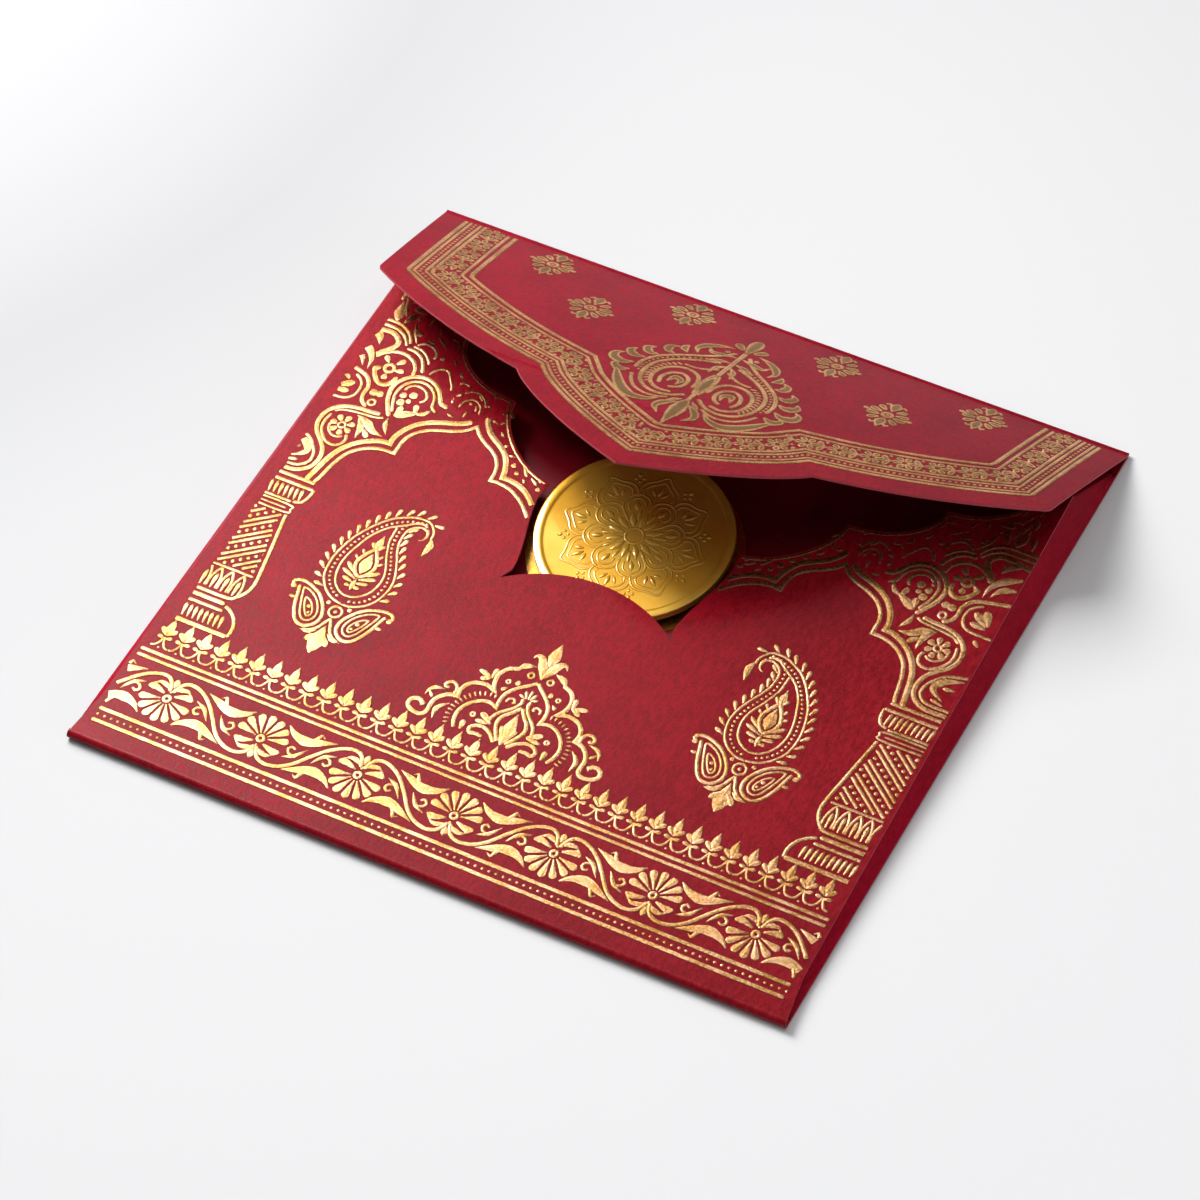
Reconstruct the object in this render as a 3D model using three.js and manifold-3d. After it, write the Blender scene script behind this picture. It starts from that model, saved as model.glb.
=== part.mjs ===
// Gift money envelope in red card with gold foil: a flat wallet with one long fold along the
// bottom, glued side gussets, a scalloped mouth, an ogee flap on a crease along the top and a
// coin tucked behind a cut tab. Millimetres, +Z up, lying on its back panel.
// X runs across the envelope and Y from the bottom fold towards the crease. The origin is
// under the middle of the envelope, on the surface it lies on.
import * as THREE from 'three';
import { mergeVertices } from 'three/addons/utils/BufferGeometryUtils.js';
import Module from 'manifold-3d';

// Driving dimensions of the wallet
const WIDTH = 125; // across the back panel
const HEIGHT = 123; // from the outside of the bottom fold to the outside of the crease
const CARD = 0.4; // thickness of the card
const FOLD_RADIUS = 0.8; // outside radius of the bottom fold
const PANEL_TILT = 2.2; // degrees that the front panel rises towards the mouth
const MOUTH_SETBACK = 15.5; // from the crease down to the straight ends of the mouth
const INSET_LOW = 1.3; // front panel's edge inside the back panel's edge, above the flare
const INSET_HIGH = 2.7; // the same at the mouth
const FLARE_HEIGHT = 9; // where the panel's edge leaves the flare at the bottom fold
const FLARE_INSET = 0.2; // edge of the panel at the fold itself

// Driving dimensions of the mouth's scalloped edge
const LOBE_END = 3.8; // straight end of the mouth at each side
const LOBE_SPAN = [0.33, 0.67]; // shares of the mouth's half width at the two inner cusps
const LOBE_RISE = [0.385, 0.66]; // shares of the mouth's depth at the two inner cusps
const SHOULDER_RISE = 3.4; // top of the coin pocket's side above the coin's centre

// Driving dimensions of the coin and its pocket
const COIN_DIAMETER = 32.4;
const COIN_THICKNESS = 1.4;
const COIN_LEAN = 2; // degrees that the coin leans back from the front panel
const COIN_CENTRE = 71.6; // from the bottom fold, along the front panel
const COIN_RIM = 1.5; // width of the raised rim
const COIN_FIELD_DEPTH = 0.18; // field below the rim, on both faces
const COIN_REEDS = 72;
const REED_DEPTH = 0.16;
const TAB_LAP = 5.1; // how far the tab covers the coin's lower edge
const TAB_DROP = 5.4; // rise of the tab's curved edge over its ends
const TAB_GAP = 0.3; // coin's face under the tab
const FOOT_IN = 1.8; // coin pocket's foot inside the coin's radius
const POCKET_GAP = 1.2; // coin pocket's side outside the coin's radius
const NOTCH = 0.9; // how far the cut runs outwards past the pocket's foot
const SEAT_MARGIN = 1.4; // gold disc on the back panel, past the coin's radius

// Driving dimensions of the flap
const FLAP_DEPTH = 60.8; // crease to the point
const FLAP_TIP_DEPTH = 28.2; // crease to the side tips
const FLAP_CUSP_DEPTH = 44.1; // crease to the cusps
const FLAP_CUSP_X = 26.3; // cusps from the centre line
const FLAP_TAPER = 2.2; // side tips inside the crease's ends
const FLAP_ANGLE = 28; // degrees above the closed position, at the crease
const FLAP_BOW = 573; // radius of the sheet's gentle bow
const CREASE_RADIUS = 0.45; // rolled bead of the crease
const RUNNING_GAP = 0.3; // between pieces that move or stand at an angle

// Driving dimensions of the inside
const LINING = 0.1; // smooth paper on the back panel's inside
const LINING_MARGIN = 1.6;
const SEAT = 0.1; // thickness of the gold disc
const GUSSET_START = 8; // lower end of the gussets above the bottom fold
const GUSSET_END = 5; // upper end of the gussets below the crease
const GUSSET_CARD = 0.34;
const GLUE_FLAP = 5.5; // gusset's glued edge under the front panel
const GLUE_FLAP_END = 1.6; // the same where the gusset runs out

const wasm = await Module();
wasm.setup();

const rad = THREE.MathUtils.degToRad;
const tilt = rad(PANEL_TILT);
const coinR = COIN_DIAMETER / 2;

// Colours of the pieces
const cardRed = new THREE.MeshStandardMaterial({ color: 0xa82c36, roughness: 0.82, metalness: 0 });
const liningRed = new THREE.MeshStandardMaterial({ color: 0x5e0410, roughness: 0.5, metalness: 0 });
const gold = new THREE.MeshStandardMaterial({ color: 0xe3b24a, roughness: 0.22, metalness: 1 });
const foil = new THREE.MeshStandardMaterial({ color: 0xd9a441, roughness: 0.35, metalness: 1 });

// Merge a geometry's vertices down to bare positions, so that neighbouring faces share them.
function bare(geometry) {
  const g = geometry.clone();
  g.deleteAttribute('normal');
  g.deleteAttribute('uv');
  return mergeVertices(g, 1e-5);
}

// A closed geometry as a solid that can be joined and cut.
function solid(geometry) {
  const g = bare(geometry);
  return new wasm.Manifold(
    new wasm.Mesh({
      numProp: 3,
      vertProperties: Float32Array.from(g.attributes.position.array),
      triVerts: Uint32Array.from(g.index.array),
    }),
  );
}

// The other way round: a joined or cut solid as a geometry.
function geometryOf(manifold) {
  const mesh = manifold.getMesh();
  const g = new THREE.BufferGeometry();
  const points = new Float32Array((mesh.vertProperties.length / mesh.numProp) * 3);
  for (let i = 0; i < points.length / 3; i += 1) {
    for (let k = 0; k < 3; k += 1) points[3 * i + k] = mesh.vertProperties[mesh.numProp * i + k];
  }
  g.setAttribute('position', new THREE.BufferAttribute(points, 3));
  g.setIndex(new THREE.BufferAttribute(Uint32Array.from(mesh.triVerts), 1));
  return g;
}

function named(name, geometry, material) {
  const g = geometry.index ? geometry.toNonIndexed() : geometry.clone();
  g.computeVertexNormals();
  const mesh = new THREE.Mesh(g, material);
  mesh.name = name;
  return mesh;
}

// A flat sheet: an outline in X and Y with a thickness from one height to another.
function sheet(shape, low, high, curveSegments = 12) {
  const g = new THREE.ExtrudeGeometry(shape, { depth: high - low, bevelEnabled: false, curveSegments });
  g.translate(0, 0, low);
  return g;
}

// A section drawn in Y and Z, drawn out along X and centred on X = 0.
function strip(shape, length, curveSegments = 10) {
  const g = new THREE.ExtrudeGeometry(shape, { depth: length, bevelEnabled: false, curveSegments });
  g.translate(0, 0, -length / 2);
  g.applyMatrix4(
    new THREE.Matrix4().makeBasis(
      new THREE.Vector3(0, 1, 0),
      new THREE.Vector3(0, 0, 1),
      new THREE.Vector3(1, 0, 0),
    ),
  );
  return g;
}

function rectangle(x0, y0, x1, y1) {
  const s = new THREE.Shape();
  s.moveTo(x0, y0);
  s.lineTo(x1, y0);
  s.lineTo(x1, y1);
  s.lineTo(x0, y1);
  s.closePath();
  return s;
}

// Flap's fold axis, and where the back panel ends short of the crease's bead
const axisY = HEIGHT - CREASE_RADIUS;
const axisZ = CREASE_RADIUS + 0.05;
const backEnd = axisY - CREASE_RADIUS - RUNNING_GAP;

// Front panel's outer edge at a distance v up from the bottom fold
const mouthV = HEIGHT - MOUTH_SETBACK;
function panelEdge(v) {
  const share = THREE.MathUtils.clamp((v - FLARE_HEIGHT) / (mouthV - FLARE_HEIGHT), 0, 1);
  return WIDTH / 2 - THREE.MathUtils.lerp(INSET_LOW, INSET_HIGH, share);
}

// Height of the front panel's underside above the surface at a distance v up from the fold
function panelUnderside(v) {
  return FOLD_RADIUS + (v - FOLD_RADIUS) * Math.sin(tilt) + (FOLD_RADIUS - CARD) * Math.cos(tilt);
}

// Back panel, with the smooth lining and the coin's gold disc on its inside
const backPanel = named(
  'back_panel',
  sheet(rectangle(-WIDTH / 2, FOLD_RADIUS, WIDTH / 2, backEnd), 0, CARD),
  cardRed,
);
const liningX = WIDTH / 2 - LINING_MARGIN;
const lining = named(
  'lining',
  sheet(
    rectangle(-liningX, FOLD_RADIUS + LINING_MARGIN, liningX, backEnd - LINING_MARGIN),
    CARD,
    CARD + LINING,
  ),
  liningRed,
);
const seatDisc = new THREE.Shape();
const coinY = FOLD_RADIUS + (COIN_CENTRE - FOLD_RADIUS) * Math.cos(tilt);
seatDisc.absarc(0, coinY, coinR + SEAT_MARGIN, 0, 2 * Math.PI, false);
const coinSeat = named(
  'coin_seat',
  sheet(seatDisc, CARD + LINING, CARD + LINING + SEAT, 32),
  foil,
);

// Bottom fold: the card turned back over itself along the lower edge
const fold = new THREE.Shape();
fold.absarc(FOLD_RADIUS, FOLD_RADIUS, FOLD_RADIUS, Math.PI / 2, 1.5 * Math.PI, false);
fold.absarc(FOLD_RADIUS, FOLD_RADIUS, FOLD_RADIUS - CARD, 1.5 * Math.PI, Math.PI / 2, true);
fold.closePath();
const bottomFold = named('bottom_fold', strip(fold, WIDTH), cardRed);

// Front panel outline, in its own plane: X across, v up from the bottom fold.
// The mouth is three scallops a side that step down to the coin's pocket, and the pocket's
// foot is the tab: a curved tongue between two notches that laps the coin's lower edge.
const tabTop = COIN_CENTRE - coinR + TAB_LAP;
const tabEnd = tabTop - TAB_DROP;
const footX = coinR - FOOT_IN;
const notchX = footX + NOTCH;
const sideX = coinR + POCKET_GAP;
const shoulderV = COIN_CENTRE + SHOULDER_RISE;
const cornerX = panelEdge(mouthV);
const lobeX = [0, LOBE_SPAN[0], LOBE_SPAN[1], 1].map((f) =>
  THREE.MathUtils.lerp(sideX - 0.3, cornerX - LOBE_END, f),
);
const lobeV = [0, LOBE_RISE[0], LOBE_RISE[1], 1].map((f) => THREE.MathUtils.lerp(shoulderV, mouthV, f));

// How far each scallop's curve leans on its start and its end, as shares of its size
const LOBE_PULL = [
  [0.45, 0.06, 0.02, 0.45],
  [0.58, 0.01, 0.01, 0.5],
  [0.55, 0.02, 0.02, 0.5],
];

// Right half of the mouth, from the tab's right notch out to the corner, then mirrored
function mouthPoints() {
  const path = new THREE.Path();
  path.moveTo(notchX, tabEnd);
  path.lineTo(footX - 0.1, tabEnd + 2.2);
  path.bezierCurveTo(
    footX + 0.1, THREE.MathUtils.lerp(tabEnd, COIN_CENTRE, 0.44),
    sideX - 0.5, THREE.MathUtils.lerp(tabEnd, COIN_CENTRE, 0.7),
    sideX, COIN_CENTRE,
  );
  path.lineTo(lobeX[0], lobeV[0]);
  for (let i = 0; i < 3; i += 1) {
    const w = lobeX[i + 1] - lobeX[i];
    const h = lobeV[i + 1] - lobeV[i];
    const [ax, ay, bx, by] = LOBE_PULL[i];
    path.bezierCurveTo(
      lobeX[i] + ax * w, lobeV[i] + ay * h,
      lobeX[i + 1] - bx * w, lobeV[i + 1] - by * h,
      lobeX[i + 1], lobeV[i + 1],
    );
  }
  path.lineTo(cornerX, mouthV);
  return path.getPoints(9);
}

const panel = new THREE.Shape();
const panelStart = FOLD_RADIUS + RUNNING_GAP;
const rightMouth = mouthPoints();
panel.moveTo(-(WIDTH / 2 - FLARE_INSET), panelStart);
panel.lineTo(WIDTH / 2 - FLARE_INSET, panelStart);
panel.lineTo(panelEdge(FLARE_HEIGHT), FLARE_HEIGHT);
for (const p of [...rightMouth].reverse()) panel.lineTo(p.x, p.y);
const tabRadius = (notchX * notchX + TAB_DROP * TAB_DROP) / (2 * TAB_DROP);
const tabHalf = Math.asin(notchX / tabRadius);
panel.absarc(0, tabTop - tabRadius, tabRadius, Math.PI / 2 - tabHalf, Math.PI / 2 + tabHalf, false);
for (const p of rightMouth) panel.lineTo(-p.x, p.y);
panel.lineTo(-panelEdge(FLARE_HEIGHT), FLARE_HEIGHT);
panel.closePath();

// The front panel's own frame: at the fold's axis, turned up by the tilt
const front = new THREE.Group();
front.position.set(0, FOLD_RADIUS, FOLD_RADIUS);
front.rotation.x = tilt;
const panelSheet = sheet(panel, FOLD_RADIUS - CARD, FOLD_RADIUS, 14);
panelSheet.translate(0, -FOLD_RADIUS, 0);
front.add(named('front_panel', panelSheet, cardRed));

// Coin: reeded edge, and a field sunk inside a raised rim on both faces
const reeded = new THREE.Shape();
const reedSteps = COIN_REEDS * 2;
for (let i = 0; i < reedSteps; i += 1) {
  const a = (i / reedSteps) * 2 * Math.PI;
  const r = i % 2 ? coinR - REED_DEPTH : coinR;
  if (i === 0) reeded.moveTo(r * Math.cos(a), r * Math.sin(a));
  else reeded.lineTo(r * Math.cos(a), r * Math.sin(a));
}
reeded.closePath();
const blank = solid(sheet(reeded, -COIN_THICKNESS, 0));
const field = new THREE.CylinderGeometry(coinR - COIN_RIM, coinR - COIN_RIM, COIN_FIELD_DEPTH * 2, 72);
field.rotateX(Math.PI / 2);
const lowerField = field.clone().translate(0, 0, -COIN_THICKNESS);
const coin = named('coin', geometryOf(blank.subtract(solid(field)).subtract(solid(lowerField))), gold);
const lean = rad(COIN_LEAN);
// The coin's face passes a gap under the tab where the tab's curved edge crosses it
const faceAtTab = FOLD_RADIUS - CARD - TAB_GAP;
coin.position.set(
  0,
  COIN_CENTRE - FOLD_RADIUS,
  faceAtTab + (COIN_CENTRE - tabTop) * Math.tan(lean),
);
coin.rotation.x = lean;
front.add(coin);

// Gussets: side walls that stand on the back panel's edges and turn in under the front panel,
// where they are glued; past the mouth they run down to nothing below the crease.
function gussetStation(v, topX, topZ, flange) {
  const slant = GUSSET_CARD * 1.1;
  return [
    [WIDTH / 2, CARD],
    [topX, topZ],
    [topX - flange, topZ],
    [topX - flange, topZ - GUSSET_CARD],
    [topX - slant, topZ - GUSSET_CARD],
    [WIDTH / 2 - slant, CARD],
  ].map(([x, z]) => new THREE.Vector3(x, v, z));
}

function loftGeometry(stations) {
  const n = stations[0].length;
  const points = [];
  for (const ring of stations) for (const p of ring) points.push(p.x, p.y, p.z);
  const index = [];
  for (let s = 0; s + 1 < stations.length; s += 1) {
    for (let i = 0; i < n; i += 1) {
      const a = s * n + i;
      const b = s * n + ((i + 1) % n);
      index.push(a, b, b + n, a, b + n, a + n);
    }
  }
  const last = (stations.length - 1) * n;
  const flat = stations[0].map((p) => new THREE.Vector2(p.x, p.z));
  for (const [i, j, k] of THREE.ShapeUtils.triangulateShape(flat, [])) {
    index.push(i, k, j);
    index.push(last + i, last + j, last + k);
  }
  const g = new THREE.BufferGeometry();
  g.setAttribute('position', new THREE.Float32BufferAttribute(points, 3));
  g.setIndex(index);
  return g;
}

const gussetTop = mouthV - RUNNING_GAP;
const endV = HEIGHT - GUSSET_END;
const rightGusset = loftGeometry([
  gussetStation(GUSSET_START, panelEdge(GUSSET_START) - 0.1, panelUnderside(GUSSET_START) - RUNNING_GAP, GLUE_FLAP),
  gussetStation(gussetTop, cornerX, panelUnderside(gussetTop) - RUNNING_GAP, GLUE_FLAP),
  gussetStation(endV, WIDTH / 2 - GUSSET_CARD, CARD + 2.2 * GUSSET_CARD, GLUE_FLAP_END),
]);

// Turn every face the right way out, whichever way the outline was walked.
function outward(geometry) {
  const g = bare(geometry);
  const p = g.attributes.position;
  const [a, b, c] = [new THREE.Vector3(), new THREE.Vector3(), new THREE.Vector3()];
  let volume = 0;
  for (let i = 0; i < g.index.count; i += 3) {
    a.fromBufferAttribute(p, g.index.getX(i));
    b.fromBufferAttribute(p, g.index.getX(i + 1));
    c.fromBufferAttribute(p, g.index.getX(i + 2));
    volume += a.dot(b.cross(c));
  }
  if (volume < 0) {
    const flipped = [];
    for (let i = 0; i < g.index.count; i += 3) {
      flipped.push(g.index.getX(i), g.index.getX(i + 2), g.index.getX(i + 1));
    }
    g.setIndex(flipped);
  }
  return g;
}

const leftGusset = rightGusset.clone();
leftGusset.scale(-1, 1, 1);

// Flap outline: crease at v = 0, the point at v = -FLAP_DEPTH; an ogee with a cusp a side
const flapShape = new THREE.Shape();
const tipX = WIDTH / 2 - FLAP_TAPER;
const rootV = CREASE_RADIUS + RUNNING_GAP;
// The bow shortens the sheet a little when it is seen square on
const seen = (v) => FLAP_BOW * Math.sin(v / FLAP_BOW);
const tipV = seen(FLAP_TIP_DEPTH);
const cuspV = seen(FLAP_CUSP_DEPTH);
const pointV = seen(FLAP_DEPTH);
const across = (f) => THREE.MathUtils.lerp(tipX, FLAP_CUSP_X, f);
const along = (f) => THREE.MathUtils.lerp(tipV, cuspV, f);
const inner = (f) => THREE.MathUtils.lerp(cuspV, pointV, f);
flapShape.moveTo(-WIDTH / 2, -rootV);
flapShape.lineTo(-tipX, -tipV + 1);
flapShape.quadraticCurveTo(-tipX, -tipV, -tipX + 0.8, -tipV - 0.55);
flapShape.bezierCurveTo(-across(0.24), -along(0.38), -across(0.6), -along(0.79), -FLAP_CUSP_X, -cuspV);
flapShape.bezierCurveTo(-FLAP_CUSP_X * 0.87, -inner(0.28), -FLAP_CUSP_X * 0.51, -inner(0.67), 0, -pointV);
flapShape.bezierCurveTo(FLAP_CUSP_X * 0.51, -inner(0.67), FLAP_CUSP_X * 0.87, -inner(0.28), FLAP_CUSP_X, -cuspV);
flapShape.bezierCurveTo(across(0.6), -along(0.79), across(0.24), -along(0.38), tipX - 0.8, -tipV - 0.55);
flapShape.quadraticCurveTo(tipX, -tipV, tipX, -tipV + 1);
flapShape.lineTo(WIDTH / 2, -rootV);
flapShape.closePath();

// The sheet that the outline is cut from: bowed, with its outer side raised in the middle
const bowSteps = 12;
const bowed = new THREE.Shape();
const bowEnd = (FLAP_DEPTH + 2) / FLAP_BOW;
for (let i = 0; i <= bowSteps; i += 1) {
  const a = (bowEnd * i) / bowSteps;
  const r = FLAP_BOW + CARD / 2;
  if (i === 0) bowed.moveTo(0, CARD / 2);
  else bowed.lineTo(-r * Math.sin(a), r * Math.cos(a) - FLAP_BOW);
}
for (let i = bowSteps; i >= 0; i -= 1) {
  const a = (bowEnd * i) / bowSteps;
  const r = FLAP_BOW - CARD / 2;
  bowed.lineTo(-r * Math.sin(a), r * Math.cos(a) - FLAP_BOW);
}
bowed.closePath();
const bowedSheet = solid(outward(strip(bowed, WIDTH + 4)));
const flapCutter = solid(sheet(flapShape, -12, 6, 10));

// Flap and its crease turn together about the crease's axis
const lid = new THREE.Group();
lid.position.set(0, axisY, axisZ);
lid.rotation.x = -rad(FLAP_ANGLE);
lid.add(named('flap', geometryOf(bowedSheet.intersect(flapCutter)), cardRed));
const bead = new THREE.CylinderGeometry(CREASE_RADIUS, CREASE_RADIUS, WIDTH, 20);
bead.rotateZ(Math.PI / 2);
lid.add(named('flap_fold', bead, cardRed));

const envelope = new THREE.Group();
envelope.add(backPanel, lining, coinSeat, bottomFold, front);
envelope.add(named('right_gusset', outward(rightGusset), cardRed));
envelope.add(named('left_gusset', outward(leftGusset), cardRed));
envelope.add(lid);
envelope.position.y = -HEIGHT / 2;

const part = new THREE.Group();
part.add(envelope);
part.updateMatrixWorld(true);

export default part;
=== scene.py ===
"""Looks of the gift money envelope: red card with gold foil ornament, an ogee flap and a gold coin.

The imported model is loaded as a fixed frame, and every piece here rides on one of its bodies. Flat
artwork is written in millimetres, across (x) and up from the bottom fold (v) on the front panel,
or down from the crease on the flap, and pressed onto the card as thin raised lines of foil.
"""

import logging
import math
from dataclasses import dataclass, field
from enum import Enum, auto
from typing import Callable, Iterable, Sequence

import bmesh
import bpy
import numpy as np
from mathutils import Matrix, Vector


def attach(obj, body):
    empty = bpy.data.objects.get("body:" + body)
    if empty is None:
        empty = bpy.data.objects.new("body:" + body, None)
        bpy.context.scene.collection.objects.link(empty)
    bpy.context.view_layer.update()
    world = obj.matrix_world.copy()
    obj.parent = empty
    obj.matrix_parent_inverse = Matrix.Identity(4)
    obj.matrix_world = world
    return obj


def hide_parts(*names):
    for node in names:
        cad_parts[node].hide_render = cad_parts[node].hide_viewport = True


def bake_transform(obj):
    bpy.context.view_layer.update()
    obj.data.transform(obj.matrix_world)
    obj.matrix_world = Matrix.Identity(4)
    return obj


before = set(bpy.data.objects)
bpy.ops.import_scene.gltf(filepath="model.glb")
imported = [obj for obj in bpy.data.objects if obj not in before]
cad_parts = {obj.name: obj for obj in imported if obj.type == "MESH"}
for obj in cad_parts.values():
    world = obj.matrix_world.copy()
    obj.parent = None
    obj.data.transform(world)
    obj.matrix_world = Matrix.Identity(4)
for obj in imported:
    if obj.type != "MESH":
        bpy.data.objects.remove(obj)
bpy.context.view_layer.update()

log = logging.getLogger("envelope")
MM = 0.001
HALF_LENGTH = 61.5  # from the bottom fold to the middle of the envelope
CARD = 0.4
FOLD_RADIUS = 0.8
PANEL_TILT = math.radians(2.2)
MOUTH_V = 107.5
FLAP_LIFT = math.radians(28)
CREASE_Y = 61.05
CREASE_Z = 0.5
ART_LEFT = -58.9  # the print sits a little to the right, so its right side runs on to the fold
ART_SLANT = 0.016  # the left side of the print follows the panel's edge
ART_RIGHT = 60.1

Row = tuple  # an Outline, a width, then flat coordinates
Colour = tuple[float, float, float, float]


# Flat artwork


class Outline(Enum):
    """How a stroke's width runs along it: pairs of a share of its length and a share of its width."""

    LINE = ((0, 1), (1, 1))
    LEAF = ((0, 0.12), (0.18, 0.55), (0.42, 1), (0.7, 0.72), (0.9, 0.3), (1, 0.06))
    PETAL = ((0, 0.3), (0.3, 0.72), (0.62, 1), (0.82, 0.86), (0.94, 0.52), (1, 0.12))
    BUD = ((0, 0.1), (0.15, 0.6), (0.38, 1), (0.6, 0.8), (0.82, 0.36), (1, 0.05))
    DOT = ((0, 0.15), (0.1, 0.6), (0.25, 0.87), (0.5, 1), (0.75, 0.87), (0.9, 0.6), (1, 0.15))
    WEDGE = ((0, 0.14), (0.3, 0.4), (0.62, 0.8), (0.8, 1), (0.93, 0.86), (1, 0.3))
    RING = ((0, 1), (1, 1.001))

    def width(self, share: np.ndarray) -> np.ndarray:
        """Width at each share of the stroke's length, as a share of its full width."""
        at, size = zip(*self.value)
        return np.interp(share, at, size)


LINE, LEAF, PETAL, BUD, DOT, WEDGE, RING = Outline


@dataclass(frozen=True)
class Stroke:
    """One raised line of foil: its middle line in flat millimetres and its width along it."""

    path: np.ndarray
    widths: np.ndarray
    closed: bool = False


@dataclass(frozen=True)
class Motif:
    """A group of strokes that is moved, mirrored and repeated as one."""

    strokes: tuple[Stroke, ...] = ()

    def __add__(self, other: "Motif") -> "Motif":
        """Both groups together."""
        return Motif(self.strokes + other.strokes)

    def moved(self, x: float = 0, v: float = 0, turn: float = 0, size: float = 1,
              flip: bool = False) -> "Motif":
        """The group mirrored, sized and turned about its origin, then moved.

        Args:
            x: Distance across in millimetres.
            v: Distance up in millimetres.
            turn: Degrees anticlockwise.
            size: Scale of the group.
            flip: Whether it is first mirrored left to right.

        Returns:
            The new group.
        """
        c, s = math.cos(math.radians(turn)) * size, math.sin(math.radians(turn)) * size
        turned = np.array(((c, s), (-s, c)))
        sign = np.array((-1.0 if flip else 1.0, 1.0))
        return Motif(tuple(
            Stroke((k.path * sign) @ turned + (x, v), k.widths * size, k.closed) for k in self.strokes
        ))

    def both(self) -> "Motif":
        """The group and its mirror image on the other side of the centre line."""
        return self + self.moved(flip=True)

    def bolder(self, share: float) -> "Motif":
        """The group with every stroke wider by a share of its width."""
        return Motif(tuple(Stroke(k.path, k.widths * (1 + share), k.closed) for k in self.strokes))

    def kept(self, inside: Callable[[np.ndarray], np.ndarray]) -> "Motif":
        """The group cut off wherever a point's test says that it is outside.

        Args:
            inside: Takes points and gives True for those that stay.

        Returns:
            The group with each stroke cut into the runs that stay.
        """
        out: list[Stroke] = []
        for stroke in self.strokes:
            mask = inside(stroke.path)
            if mask.all():
                out.append(stroke)
                continue
            path, widths = stroke.path, stroke.widths
            if stroke.closed and mask.any():
                shift = -int(np.argmin(mask))
                path, widths, mask = (np.roll(a, shift, axis=0) for a in (path, widths, mask))
            edges = np.flatnonzero(np.diff(np.concatenate(([0], mask.astype(int), [0]))))
            for start, end in zip(edges[::2], edges[1::2]):
                if end - start > 1:
                    out.append(Stroke(path[start:end], widths[start:end]))
        return Motif(tuple(out))


def smooth(points: np.ndarray, closed: bool) -> np.ndarray:
    """A curve through points, eight steps a span; a point given twice running is a sharp corner."""
    if len(points) < 3:
        return points
    if not closed:
        twice = np.flatnonzero(np.all(points[1:] == points[:-1], axis=1))
        if len(twice):
            cut = int(twice[0]) + 1
            return np.concatenate((smooth(points[:cut], False), smooth(points[cut:], False)[1:]))
        points = np.concatenate((2 * points[:1] - points[1:2], points, 2 * points[-1:] - points[-2:-1]))
    else:
        points = np.concatenate((points[-1:], points, points[:2]))
    t = np.linspace(0, 1, 9)[:-1, None]
    spans = [
        0.5 * (2 * b + (c - a) * t + (2 * a - 5 * b + 4 * c - d) * t**2 + (3 * b - a - 3 * c + d) * t**3)
        for a, b, c, d in zip(points, points[1:], points[2:], points[3:])
    ]
    return np.concatenate(spans if closed else spans + [points[-2:-1]])


def along(path: np.ndarray) -> np.ndarray:
    """Distance of each point of a path from its start."""
    return np.concatenate(([0.0], np.cumsum(np.linalg.norm(np.diff(path, axis=0), axis=1))))


def stroke(outline: Outline, width: float, points: np.ndarray, step: float = 0.42) -> Stroke:
    """One stroke through points.

    Args:
        outline: How its width runs along it.
        width: Its full width in millimetres.
        points: Points that its middle line runs through.
        step: Longest distance between its cross sections.

    Returns:
        The stroke, with rounded ends where it is a plain line.
    """
    closed = outline is RING
    path = smooth(points, closed)
    if closed:
        path = np.concatenate((path, path[:1]))
    distance = along(path)
    length = distance[-1]
    stations = np.linspace(0, length, max(3, int(math.ceil(length / step)) + 1))
    corners = distance[1:-1][turn_of(path) > 0.5]
    if outline is LINE:
        stations = np.concatenate((stations, [0.1 * width, 0.3 * width, length - 0.3 * width,
                                              length - 0.1 * width]))
    elif not closed:
        stations = np.concatenate((stations, [length * at for at, _ in outline.value]))
    stations = np.unique(np.round(np.concatenate((stations, corners)).clip(0, length), 4))
    keep = np.concatenate(([True], np.diff(stations) > 0.012))
    stations = stations[keep]
    flat = np.stack([np.interp(stations, distance, path[:, k]) for k in (0, 1)], axis=1)
    widths = width * outline.width(stations / length)
    if outline is LINE:
        end = np.minimum(stations, length - stations) / (0.5 * width)
        widths = widths * np.sqrt(1 - (1 - end.clip(0.03, 1)) ** 2)
    if closed:
        flat, widths = flat[:-1], widths[:-1]
    return Stroke(flat, widths, closed)


def turn_of(path: np.ndarray) -> np.ndarray:
    """Angle in radians that a path turns at each of its inner points."""
    d = np.diff(path, axis=0)
    angle = np.arctan2(d[:, 1], d[:, 0])
    return np.abs((np.diff(angle) + math.pi) % (2 * math.pi) - math.pi)


def draw(*rows: Row) -> Motif:
    """A motif from written rows.

    Args:
        rows: Each is an outline, a width and flat coordinates; a dot is its radius and centre,
            and a ring its width, centre and radius.

    Returns:
        The motif.
    """
    strokes = []
    for outline, width, *numbers in rows:
        if outline is DOT:
            x, v = numbers
            points = np.array(((x - width, v), (x + width, v)))
            strokes.append(stroke(DOT, 2 * width, points, 0.5))
        elif outline is RING and len(numbers) == 3:
            strokes.append(stroke(RING, width, circle(*numbers), 0.35))
        else:
            strokes.append(stroke(outline, width, np.array(numbers, float).reshape(-1, 2)))
    return Motif(tuple(strokes))


def pair(outline: Outline, width: float, *numbers: float) -> tuple[Row, Row]:
    """A written row and its mirror image on the other side of the centre line."""
    mirrored = (-n if k % 2 == 0 else n for k, n in enumerate(numbers))
    return (outline, width, *numbers), (outline, width, *mirrored)


def circle(x: float, v: float, radius: float, count: int = 10) -> np.ndarray:
    """Points round a circle."""
    a = np.arange(count) * 2 * math.pi / count
    return np.stack((x + radius * np.cos(a), v + radius * np.sin(a)), axis=1)


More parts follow.
